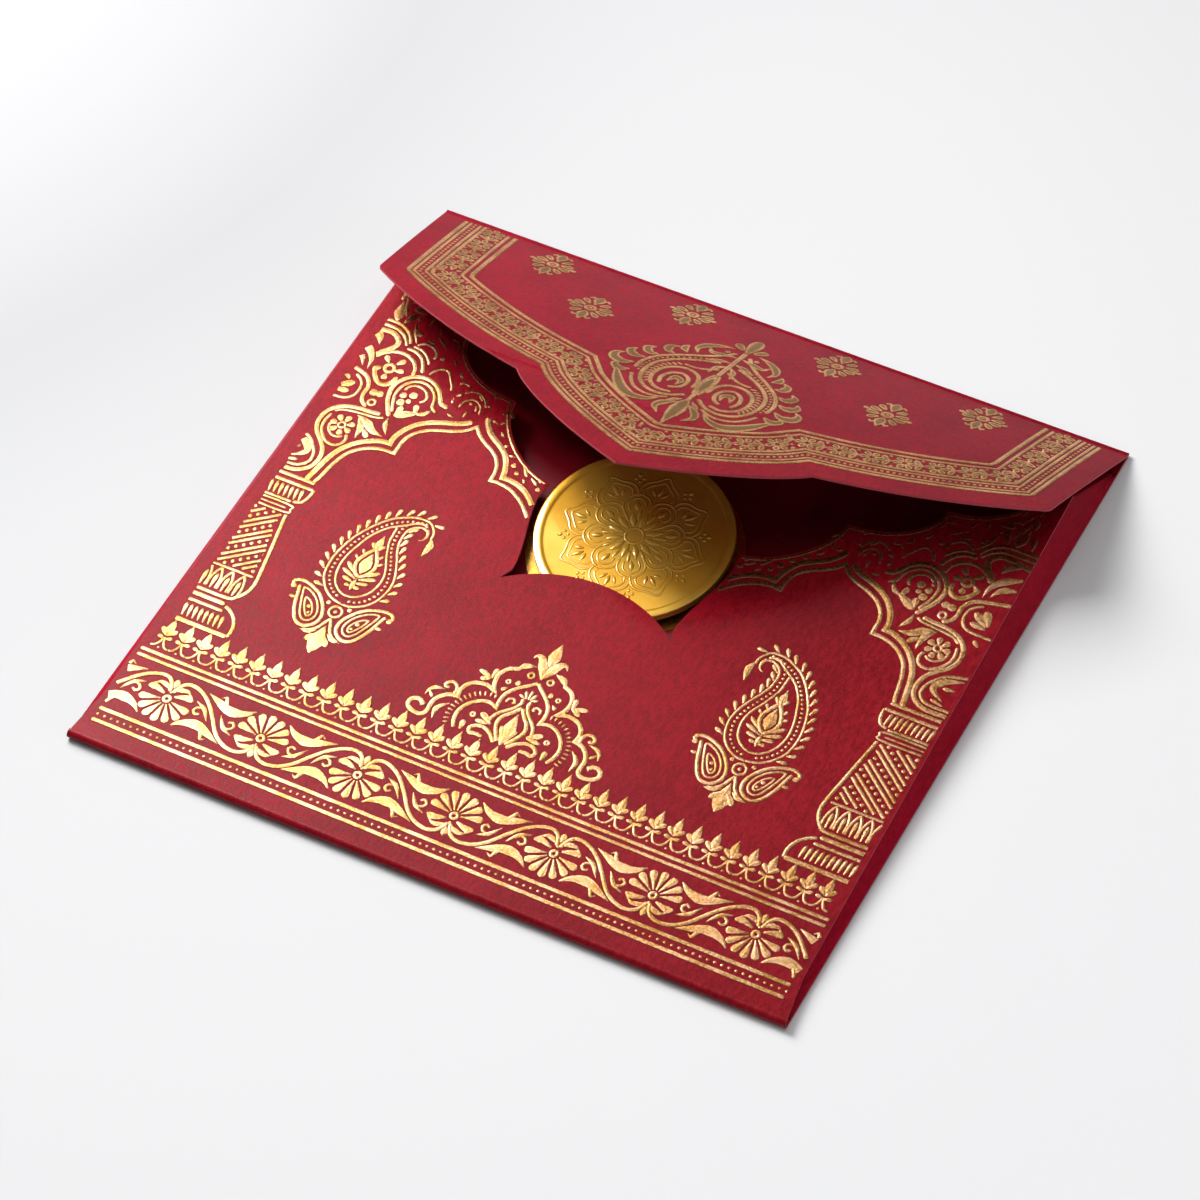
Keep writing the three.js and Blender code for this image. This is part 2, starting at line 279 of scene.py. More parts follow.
def fan(count: int, first: float, last: float, near: float, far: float, width: float,
        outline: Outline = PETAL) -> Motif:
    """Petals about the origin.

    Args:
        count: Number of petals.
        first: Direction of the first in degrees from straight up, clockwise.
        last: Direction of the last.
        near: Distance of the petals' feet from the origin.
        far: Distance of their tips.
        width: Width of each.
        outline: Form of each.

    Returns:
        The petals as one motif.
    """
    petal = draw((outline, width, 0, near, 0, far))
    step = (last - first) / (count if abs(last - first) >= 360 else max(1, count - 1))
    return together(petal.moved(turn=-(first + i * step)) for i in range(count))


def on_panel(points: np.ndarray) -> np.ndarray:
    """Whether points lie between the two sides of the print."""
    return (points[:, 0] > ART_LEFT + ART_SLANT * points[:, 1]) & (points[:, 0] < ART_RIGHT)


def together(motifs: Iterable[Motif]) -> Motif:
    """Several motifs as one."""
    return Motif(tuple(k for m in motifs for k in m.strokes))


def beside(path: np.ndarray, distance: float) -> np.ndarray:
    """A path moved sideways to its left, with its corners mitred and its overlaps trimmed off.

    Args:
        path: Dense points of an open path.
        distance: How far to the left of the way it runs.

    Returns:
        The new path.
    """
    moved = path + mitre(path, False) * distance
    gaps = np.linalg.norm(moved[:, None] - path[None], axis=2).min(axis=1)
    return moved[gaps > abs(distance) - 0.05]


def mitre(path: np.ndarray, closed: bool) -> np.ndarray:
    """Leftward offset of each point of a path for one millimetre of width, mitred at corners."""
    if closed:
        d = np.roll(path, -1, axis=0) - path
        before = np.roll(d, 1, axis=0)
    else:
        d = np.diff(path, axis=0)
        d = np.concatenate((d, d[-1:]))
        before = np.concatenate((d[:1], d[:-1]))
    n1, n2 = (np.stack((-k[:, 1], k[:, 0]), axis=1) / np.linalg.norm(k, axis=1)[:, None]
              for k in (before, d))
    both = n1 + n2
    size = np.linalg.norm(both, axis=1)[:, None].clip(1e-6)
    return both / size / (size / 2).clip(0.5)


def spaced(path: np.ndarray, pitch: float, margin: float = 0) -> list[tuple[float, float, float]]:
    """Even places along a path.

    Args:
        path: Points of the path.
        pitch: Distance between places, eased to fit.
        margin: Bare length at each end.

    Returns:
        For each place its x and v and the path's direction in degrees.
    """
    distance = along(path)
    room = distance[-1] - 2 * margin
    count = max(1, int(round(room / pitch)))
    out = []
    for i in range(count):
        s = margin + (i + 0.5) * room / count
        a, b = (np.array([np.interp(s + e, distance, path[:, k]) for k in (0, 1)]) for e in (-0.1, 0.1))
        out.append((*((a + b) / 2), math.degrees(math.atan2(b[1] - a[1], b[0] - a[0]))))
    return out


# Where flat artwork lies on the object


class FrontFace:
    """The front panel's outer face, which rises a little from the bottom fold to the mouth."""

    def place(self, x: np.ndarray, v: np.ndarray, height: np.ndarray) -> np.ndarray:
        """Points of the model in metres for flat points and their height above the card."""
        u, w = v - FOLD_RADIUS, FOLD_RADIUS + height
        c, s = math.cos(PANEL_TILT), math.sin(PANEL_TILT)
        y = FOLD_RADIUS + u * c - w * s - HALF_LENGTH
        return np.stack((x, y, FOLD_RADIUS + u * s + w * c), axis=1) * MM


@dataclass(frozen=True)
class FlapFace:
    """The flap's outer face: a gently bowed sheet, lifted about the crease."""

    bow: float = 573.0

    def place(self, x: np.ndarray, v: np.ndarray, height: np.ndarray) -> np.ndarray:
        """Points of the model in metres; v runs from the crease to the flap's point."""
        r = self.bow + CARD / 2 + height
        y, z = -r * np.sin(v / self.bow), r * np.cos(v / self.bow) - self.bow
        c, s = math.cos(FLAP_LIFT), -math.sin(FLAP_LIFT)
        return np.stack((x, y * c - z * s + CREASE_Y, y * s + z * c + CREASE_Z), axis=1) * MM


@dataclass(frozen=True)
class CoinFace:
    """The coin's upper face, in its sunk field; x and v are measured from the coin's centre."""

    lean: float = math.radians(2)
    centre: float = 70.8
    top: float = 0.4876
    sunk: float = 0.18

    def place(self, x: np.ndarray, v: np.ndarray, height: np.ndarray) -> np.ndarray:
        """Points of the model in metres for flat points and their height above the field."""
        w = height - self.sunk
        u = self.centre + v * math.cos(self.lean) - w * math.sin(self.lean)
        h = self.top + v * math.sin(self.lean) + w * math.cos(self.lean)
        return FrontFace().place(x, u + FOLD_RADIUS, h - FOLD_RADIUS)


@dataclass(frozen=True)
class Relief:
    """Cross section of a pressed line: how its edges sink in and its middle stands up."""

    skirt: float = 0.13  # edge outside the written width
    sunk: float = 0.02
    shoulder: float = 0.06
    crown: float = 0.08
    bold: float = 0.92

    def mesh(self, name: str, motif: Motif, face: FrontFace | FlapFace | CoinFace) -> bpy.types.Object:
        """All of a motif's strokes as closed solids in one mesh on a face.

        Args:
            name: Name of the piece.
            motif: The flat strokes.
            face: What they are pressed onto.

        Returns:
            The new object, with an attribute that is 0 at each line's edge, 1 along its shoulders
            and up to 2 in the middle of a wide line.
        """
        points, quads, rims, ends, count = [], [], [], [], 0
        for number, k in enumerate(motif.strokes):
            side = mitre(k.path, k.closed)
            n = len(k.path)
            lift = 1 + 0.012 * (number % 7)
            half = k.widths / 2 * self.bold
            shoulder = np.maximum(half - 0.05, half * 0.6)
            wide = (k.widths / 0.6).clip(0.4, 1)
            section = (
                (-half - self.skirt, np.full(n, -self.sunk), 0.0),
                (-shoulder, self.shoulder * lift * wide, 1.0),
                (np.zeros(n), self.crown * lift * wide, 1 + ((k.widths - 0.5) / 0.6).clip(0, 1)),
                (shoulder, self.shoulder * lift * wide, 1.0),
                (half + self.skirt, np.full(n, -self.sunk), 0.0),
            )
            ring = []
            for offset, height, rim in section:
                flat = k.path + side * offset[:, None]
                ring.append(face.place(flat[:, 0], flat[:, 1], height))
                rims.append(np.broadcast_to(rim, (n,)))
            points.append(np.stack(ring, axis=1).reshape(-1, 3))
            rims[-5:] = [np.stack(rims[-5:], axis=1).ravel()]
            i = np.arange(n if k.closed else n - 1)
            j = (i + 1) % n
            for m in range(5):
                q = (m + 1) % 5
                quads.append(np.stack((i * 5 + m, i * 5 + q, j * 5 + q, j * 5 + m), axis=1) + count)
            if not k.closed:
                ends.append([count + m for m in (4, 3, 2, 1, 0)])
                ends.append([count + (n - 1) * 5 + m for m in range(5)])
            count += n * 5
        mesh = bpy.data.meshes.new(name)
        faces = np.concatenate(quads)[:, ::-1].tolist() + [end[::-1] for end in ends]
        mesh.from_pydata(np.concatenate(points).tolist(), [], faces)
        mesh.attributes.new("rim", "FLOAT", "POINT").data.foreach_set(
            "value", np.concatenate(rims).astype(np.float32))
        mesh.update()
        piece = bpy.data.objects.new(name, mesh)
        bpy.context.scene.collection.objects.link(piece)
        return piece


# Finishes


def paint(code: str) -> Colour:
    """A colour written as six hexadecimal digits, as the shader's linear values."""
    parts = [int(code[i:i + 2], 16) / 255 for i in (0, 2, 4)]
    red, green, blue = (p / 12.92 if p <= 0.04045 else ((p + 0.055) / 1.055) ** 2.4 for p in parts)
    return (red, green, blue, 1.0)


class Value:
    """A number in a shader that can be used in Python arithmetic."""

    def __init__(self, shader: "Shader", socket: bpy.types.NodeSocket) -> None:
        """Keeps the shader and the socket that gives the number."""
        self.shader, self.socket = shader, socket

    def __add__(self, other: "Value | float") -> "Value":
        """Sum of two values."""
        return self.shader.math("ADD", self, other)

    __radd__ = __add__

    def __mul__(self, other: "Value | float") -> "Value":
        """Product of two values."""
        return self.shader.math("MULTIPLY", self, other)

    __rmul__ = __mul__

    def __sub__(self, other: "Value | float") -> "Value":
        """This value less another."""
        return self.shader.math("SUBTRACT", self, other)

    def __rsub__(self, other: float) -> "Value":
        """A number less this value."""
        return self.shader.math("SUBTRACT", other, self)

    def __pow__(self, other: "Value | float") -> "Value":
        """This value to a power."""
        return self.shader.math("POWER", self, other)

    def __abs__(self) -> "Value":
        """This value without its sign."""
        return self.shader.math("ABSOLUTE", self, 0.0)


class Shader:
    """A material under construction: its node tree, and one method that adds any node."""

    def __init__(self, name: str) -> None:
        """Makes an empty material with an output."""
        self.material = bpy.data.materials.new(name)
        self.material.use_nodes = True
        self.tree = self.material.node_tree
        self.tree.nodes.clear()
        self.output = self.tree.nodes.new("ShaderNodeOutputMaterial")

    def add(self, kind: str, settings: dict[str, object] | None = None,
            inputs: dict[str | int, object] | None = None) -> bpy.types.Node:
        """Adds a node.

        Args:
            kind: The node's type.
            settings: Its properties, set first.
            inputs: Values or links of its sockets, by name or number.

        Returns:
            The node.
        """
        node = self.tree.nodes.new(kind)
        for key, value in (settings or {}).items():
            setattr(node, key, value)
        for key, value in (inputs or {}).items():
            socket = value.socket if isinstance(value, Value) else value
            if isinstance(socket, bpy.types.NodeSocket):
                self.tree.links.new(socket, node.inputs[key])
            else:
                node.inputs[key].default_value = value
        return node

    def math(self, operation: str, a: Value | float, b: Value | float) -> Value:
        """A Math node on two values."""
        node = self.add("ShaderNodeMath", {"operation": operation}, {0: a, 1: b})
        return Value(self, node.outputs[0])

    def ease(self, value: Value, low: float, high: float, to_low: float = 0, to_high: float = 1) -> Value:
        """A value eased from one range to another, and held at its ends."""
        node = self.add("ShaderNodeMapRange", {"interpolation_type": "SMOOTHSTEP"}, {
            "Value": value, "From Min": low, "From Max": high, "To Min": to_low, "To Max": to_high})
        return Value(self, node.outputs[0])

    def mix(self, share: Value | float, first: object, second: object) -> bpy.types.NodeSocket:
        """Two colours mixed; a share of 1 gives the second."""
        node = self.add("ShaderNodeMix", {"data_type": "RGBA"}, {0: share, 6: first, 7: second})
        return node.outputs[2]

    def noise(self, scale: float, stretch: Sequence[float] = (1, 1, 1), turn: float = 0,
              detail: float = 2.0, rough: float = 0.5) -> Value:
        """Noise over the object at rest.

        Args:
            scale: Marks a metre.
            stretch: Scale along each axis after turning.
            turn: Degrees about the vertical.
            detail: Octaves of finer noise.
            rough: Strength of the finer noise.

        Returns:
            The noise's value, about 0.5 in the middle.
        """
        place = self.add("ShaderNodeTexCoord").outputs["Object"]
        turned = self.add("ShaderNodeMapping", {}, {
            "Vector": place, "Rotation": (0, 0, math.radians(turn)), "Scale": tuple(stretch)})
        node = self.add("ShaderNodeTexNoise", {}, {
            "Vector": turned.outputs[0], "Scale": scale, "Detail": detail, "Roughness": rough})
        return Value(self, node.outputs[0])

    def finish(self, inputs: dict[str | int, object]) -> bpy.types.Material:
        """Ends the material in a Principled shader with these inputs."""
        body = self.add("ShaderNodeBsdfPrincipled", {}, inputs)
        self.tree.links.new(body.outputs[0], self.output.inputs[0])
        return self.material

    def bump(self, height: Value, distance: float, strength: float = 1.0) -> bpy.types.NodeSocket:
        """A surface direction from a height in metres' share."""
        node = self.add("ShaderNodeBump", {}, {
            "Height": height, "Distance": distance, "Strength": strength})
        return node.outputs[0]


@dataclass(frozen=True)
class FeltedCard:
    """Thick dyed card with soft felt marks; its cut edges are painted paler than its faces, a painted
    highlight along them.
    """

    name: str
    light: str = "860e1b"
    deep: str = "6a0711"
    # painted highlight: colour of the cut edges, paler than the faces
    edge: str = "9c4046"
    facing: tuple[float, float, float] | None = None  # direction of the sheet's faces, for the painted highlight on its cut edges
    gloss: float = 0.12

    def material(self) -> bpy.types.Material:
        """The finished material."""
        s = Shader(self.name)
        marks = s.noise(1, (1500, 640, 1200), -52, 3.0, 0.6)
        cloud = s.noise(130, detail=3.0)
        grain = s.noise(3600, detail=2.0)
        tone = s.ease(0.4 * marks + 0.2 * cloud + 0.4 * grain, 0.4, 0.6)
        colour = s.mix(tone, paint(self.deep), paint(self.light))
        # painted highlight: faces turned away from the sheet's faces, its cut edges, are coloured paler
        if self.facing is not None:
            normal = s.add("ShaderNodeTexCoord").outputs["Normal"]
            across = s.add("ShaderNodeVectorMath", {"operation": "DOT_PRODUCT"},
                           {0: normal, 1: self.facing})
            cut = 1 - s.ease(abs(Value(s, across.outputs["Value"])), 0.35, 0.8)
            colour = s.mix(cut, colour, paint(self.edge))
        height = 0.6 * marks + 0.4 * grain
        return s.finish({
            "Base Color": colour,
            "Roughness": s.ease(marks, 0.3, 0.7, 0.28, 0.38),
            "Specular IOR Level": self.gloss,
            "Normal": s.bump(height, 0.00008, 0.55),
        })


@dataclass(frozen=True)
class SmoothPaper:
    """Smooth dyed paper, as the lining inside."""

    name: str
    light: str = "780717"
    deep: str = "620512"

    def material(self) -> bpy.types.Material:
        """The finished material."""
        s = Shader(self.name)
        cloud = s.noise(120, (1, 0.4, 1), detail=3.0)
        fibre = s.noise(1, (700, 4200, 900), 8, 2.0)
        return s.finish({
            "Base Color": s.mix(s.ease(0.6 * cloud + 0.4 * fibre, 0.35, 0.65),
                                paint(self.deep), paint(self.light)),
            "Roughness": s.ease(fibre, 0.3, 0.7, 0.42, 0.52),
            "Specular IOR Level": 0.4,
            "Normal": s.bump(fibre, 0.00002, 0.4),
        })


@dataclass(frozen=True)
class Foil:
    """Hot pressed gold foil: bright along the top of each line, with painted brown shade down its edges and a
    painted dark reflection in the middle of wide shapes.
    """

    name: str
    bright: str = "e9b68a"
    deep: str = "b67f42"
    # painted shade: brown down the edges of each line
    edge: str = "4a1c0c"
    middle: str = "9a7636"  # the middle of wide shapes, painted dark as a reflection
    middle_share: float = 0.3
    smooth: float = 0.29
    rough: float = 0.42
    lined: bool = True  # whether it is pressed in lines, with painted brown shade down their edges, or is a plain sheet

    def material(self) -> bpy.types.Material:
        """The finished material."""
        s = Shader(self.name)
        rim = Value(s, s.add("ShaderNodeAttribute", {"attribute_name": "rim"}).outputs["Fac"])
        cloud = s.noise(260, detail=3.0)
        grain = s.noise(2600, detail=3.0, rough=0.6)
        gold = s.mix(s.ease(0.4 * cloud + 0.6 * grain, 0.4, 0.6), paint(self.deep), paint(self.bright))
        top: Value | float = 1.0
        if self.lined:
            # painted shade and reflection: brown down each line's edges, dark olive in the middle of wide
            # shapes
            top = s.ease(rim, 0.5, 0.85)
            gold = s.mix(s.ease(rim, 1.1, 1.6, 0, self.middle_share), gold, paint(self.middle))
            gold = s.mix(top, paint(self.edge), gold)
        return s.finish({
            "Base Color": gold,
            "Metallic": top,
            "Roughness": s.ease(grain, 0.3, 0.7, self.smooth, self.rough),
            "Normal": s.bump(0.3 * cloud + 0.7 * grain, 0.00007, 0.6),
        })


@dataclass(frozen=True)
class CoinGold:
    """Polished gold of the coin, a little brushed by handling."""

    name: str
    bright: str = "ffd468"
    deep: str = "fac24c"
    edge: str | None = None  # painted shade down the sides of the raised lines
    smooth: float = 0.36
    rough: float = 0.42

    def material(self) -> bpy.types.Material:
        """The finished material."""
        s = Shader(self.name)
        cloud = s.noise(140, detail=3.0)
        fine = s.noise(1, (900, 9000, 900), 35, 2.0)
        gold = s.mix(s.ease(cloud, 0.35, 0.65), paint(self.deep), paint(self.bright))
        # painted shade: the sides of the raised lines are coloured brown
        if self.edge is not None:
            rim = Value(s, s.add("ShaderNodeAttribute", {"attribute_name": "rim"}).outputs["Fac"])
            gold = s.mix(s.ease(rim, 0.3, 0.8), paint(self.edge), gold)
        return s.finish({
            "Base Color": gold,
            "Metallic": 0.72,
            "Roughness": s.ease(fine, 0.3, 0.7, self.smooth, self.rough),
            "Coat Weight": 1.0,
            "Coat Roughness": 0.14,
            "Coat IOR": 2.2,
            "Coat Tint": paint("fff0c0"),
        })


def dress(piece: bpy.types.Object, material: bpy.types.Material) -> None:
    """Gives a piece one material on all of its faces."""
    piece.data.materials.clear()
    piece.data.materials.append(material)


def loft(name: str, rings: Sequence[np.ndarray]) -> bpy.types.Object:
    """A closed solid through rings of points.

    Args:
        name: Name of the piece.
        rings: Closed sections in model millimetres, each with the same number of points.

    Returns:
        The new object, smooth except at sharp edges.
    """
    n = len(rings[0])
    faces = []
    last = (len(rings) - 1) * n
    for a in range(0, last, n):
        faces += [(a + i, a + (i + 1) % n, a + n + (i + 1) % n, a + n + i) for i in range(n)]
    faces += [tuple(range(n))[::-1], tuple(last + i for i in range(n))]
    mesh = bpy.data.meshes.new(name)
    mesh.from_pydata((np.concatenate(rings) * MM).tolist(), [], faces)
    mesh.validate()
    outward(mesh)
    piece = bpy.data.objects.new(name, mesh)
    bpy.context.scene.collection.objects.link(piece)
    mesh.shade_smooth()
    mesh.set_sharp_from_angle(angle=math.radians(38))
    return piece


def outward(mesh: bpy.types.Mesh) -> None:
    """Turns a closed mesh's faces the right way out."""
    work = bmesh.new()
    work.from_mesh(mesh)
    bmesh.ops.recalc_face_normals(work, faces=work.faces)
    work.to_mesh(mesh)
    work.free()


# Sub-assemblies


@dataclass
class BottomBorder:
    """Foil bands along the bottom: lines and beads, a flowering vine and a row of small buds."""

    reach: float = 60.35
    half_period: float = 17.15
    bead_pitch: float = 1.2
    bud_pitch: float = 3.21

    def rule(self, v: float, width: float) -> Motif:
        """A straight line from side to side."""
        return draw((LINE, width, -self.reach, v, self.reach, v))

    def unit(self) -> Motif:
        """One upright flower of the vine with the leaves at each side of it."""
        petals = fan(7, -76, 76, 1.05, 4.6, 1.4, WEDGE).moved(v=12.0)
        side = draw(
            (PETAL, 1.2, -0.9, 11.2, -2.9, 10.6, -4.1, 10.9),
            (LEAF, 1.0, -0.3, 10.4, -1.3, 9.7, -2.4, 9.5, -3.3, 10.0),
            (LINE, 0.5, -2.9, 9.8, -3.5, 10.4, -3.3, 11.0, -2.7, 10.9),
            (LEAF, 1.95, -3.0, 16.1, -4.2, 15.1, -5.8, 14.5, -7.4, 14.5, -9.2, 15.2, -11.5, 16.1),
            (LEAF, 0.75, -7.2, 14.6, -8.1, 15.5, -8.6, 16.5, -9.3, 16.1),
            (LEAF, 0.85, -4.6, 10.4, -6.4, 11.3, -7.8, 13.2),
            (LINE, 0.5, -6.0, 11.2, -5.2, 11.5, -4.9, 12.2, -5.5, 12.7, -6.1, 12.3),
        )
        heart = draw((BUD, 1.2, 0, 8.0, 0, 9.9), (RING, 0.55, 0, 12.0, 0.55), (DOT, 0.3, 0, 10.6))
        return petals + side.both() + heart

    def stem(self) -> Motif:
        """The stem that runs from an upright flower's foot up to the hanging flower on its right."""
        return draw((LINE, 0.72, 0.2, 10.6, 0.75, 9.2, 1.6, 8.4, 3.1, 8.05, 5.07, 8.55, 7.0, 9.95, 8.96, 12.4,
                     10.9, 14.5, 12.85, 15.8, 14.8, 16.25, 16.1, 15.6, 16.9, 13.7))

    def bud(self) -> Motif:
        """One upright bud of the top row with half of the scallop on each side of it."""
        half = self.bud_pitch / 2
        return draw(
            (LINE, 0.42, -half, 20.5, -half * 0.55, 20.65, -0.35, 21.5, 0, 22.6),
            (LINE, 0.42, half, 20.5, half * 0.55, 20.65, 0.35, 21.5, 0, 22.6),
            (BUD, 1.55, 0, 23.1, 0, 26.4),
            *pair(PETAL, 1.0, 0, 22.9, -1.4, 24.3),
            *pair(PETAL, 0.75, 0, 22.3, -1.4, 22.6),
            (DOT, 0.22, 0, 20.4),
        )

    def motif(self) -> Motif:
        """All of the bands, cut off at the panel's sides."""
        rules = together(
            self.rule(v, w) for v, w in ((4.15, 0.72), (6.5, 0.72), (18.05, 0.62), (19.25, 0.66)))
        beads = together(
            draw((LINE, 0.52, x - 0.26, 5.32, x + 0.26, 5.32))
            for x in np.arange(-self.reach + 0.5, self.reach, self.bead_pitch)
        )
        upright = self.unit()
        hanging = upright.moved(v=24.35, turn=180)
        stems = self.stem().both()
        vine = together(
            (hanging if i % 2 else upright + stems).moved(x=i * self.half_period) for i in range(-4, 5)
        )
        buds = together(self.bud().moved(x=i * self.bud_pitch) for i in range(-18, 19))
        return (rules + beads + vine + buds).kept(lambda p: np.abs(p[:, 0]) < self.reach)


@dataclass
class Medallion:
    """The crowned arch in the middle of the front panel."""

    def motif(self) -> Motif:
        """The whole medallion, mirrored about the panel's centre line."""
        outer = draw(
            (LINE, 0.62, 14.6, 28.3, 15.0, 28.9, 15.9, 29.0, 16.7, 28.4, 16.6, 27.3, 15.4, 26.6, 14.0, 26.6,
             13.4,
             27.4, 13.45, 28.9, 13.25, 30.1, 12.5, 31.1, 11.5, 31.8, 10.3, 32.0, 10.3, 32.0, 10.5, 33.2, 10.2,
             34.3, 9.4, 35.2, 8.4, 35.65, 7.1, 35.8, 5.5, 35.3, 5.5, 35.3, 6.2, 36.4, 6.45, 37.8, 6.2, 39.0,
             5.5, 39.95, 4.6, 40.4, 3.8, 40.65),
            (LEAF, 0.95, 4.2, 40.4, 3.4, 41.5, 1.7, 42.1),
            (PETAL, 0.75, 7.0, 37.3, 9.6, 38.0), (PETAL, 0.75, 7.1, 37.2, 7.0, 39.3),
            (PETAL, 0.75, 7.0, 37.3, 8.8, 36.5),
            (LINE, 0.5, 11.1, 32.0, 11.0, 33.1, 11.6, 33.95, 12.5, 34.05, 13.1, 33.4, 12.8, 32.8, 12.2, 33.1),
            (LEAF, 0.65, 12.7, 32.4, 14.1, 32.1, 14.9, 31.4, 15.2, 30.2),
            (PETAL, 0.5, 14.9, 31.3, 13.8, 30.1),
            (PETAL, 0.45, 14.8, 28.0, 14.3, 28.9),
            (LEAF, 0.75, 12.0, 26.7, 12.3, 28.1, 12.0, 29.1, 10.8, 30.3),
        )
        inner = draw(
            (LINE, 0.55, 8.1, 26.5, 8.75, 27.8, 8.95, 29.4, 8.5, 30.8, 7.7, 31.9, 6.5, 32.75, 5.2, 33.05, 3.8,
             32.6, 3.8, 32.6, 3.95, 34.2, 3.7, 35.6, 3.0, 36.7, 2.1, 37.6, 1.0, 38.5, 0.0, 39.4),
            (LINE, 0.5, 0.75, 35.8, 0.6, 34.9, 1.3, 33.6, 2.6, 32.3, 3.4, 31.2, 3.7, 30.0),
            (LINE, 0.55, 0.05, 34.2, 1.0, 32.8, 2.0, 31.7, 2.4, 30.3, 1.9, 28.9, 0.7, 26.9),
            (LINE, 0.55, 1.1, 26.5, 2.3, 27.8, 3.8, 28.5, 5.1, 28.3, 5.8, 27.5, 5.4, 26.7, 4.5, 26.9, 3.2,
             26.8),
            (PETAL, 0.9, 3.1, 29.5, 5.5, 30.9), (PETAL, 0.7, 3.2, 29.4, 5.7, 29.2),
            (PETAL, 0.8, 7.1, 26.7, 7.2, 28.5),
            (RING, 0.32, 6.5, 30.0, 0.36), (RING, 0.3, 4.4, 37.8, 0.34), (RING, 0.34, 1.7, 40.3, 0.5),
            (DOT, 0.42, 2.9, 38.1), (PETAL, 0.6, 4.0, 36.7, 4.8, 35.9),
            (LINE, 0.38, 2.9, 34.1, 2.8, 34.9, 2.1, 35.2, 1.6, 34.7, 2.0, 34.3),
            (PETAL, 0.5, 0.3, 36.0, 1.0, 37.4), (PETAL, 0.45, 0.4, 35.9, 1.7, 36.4),
        )
        fringe = together(
            draw((PETAL, 0.36, 0, 0.25, 0, 1.15)).moved(x, v, turn)
            for x, v, turn in spaced(smooth(np.array(((9.0, 26.9), (9.5, 28.6), (9.2, 30.7), (8.0, 32.6),
                                                      (6.2, 33.7), (4.6, 33.8))), False)[::-1], 0.72)
        )
        crown = draw(
            (LEAF, 1.3, 0.0, 40.2, 0.5, 41.6, 1.0, 42.8, 1.7, 43.9, 2.5, 44.1, 3.0, 43.4),
        )
        middle = draw((BUD, 2.3, 0, 42.9, 0, 47.6), (BUD, 2.7, 0, 26.6, 0, 32.9),
                      (PETAL, 0.6, 0, 36.0, 0, 37.9), *pair(PETAL, 1.1, 0.2, 27.6, 1.3, 30.0))
        return ((outer + inner).bolder(0.32) + fringe + crown.bolder(0.4)).both() + middle


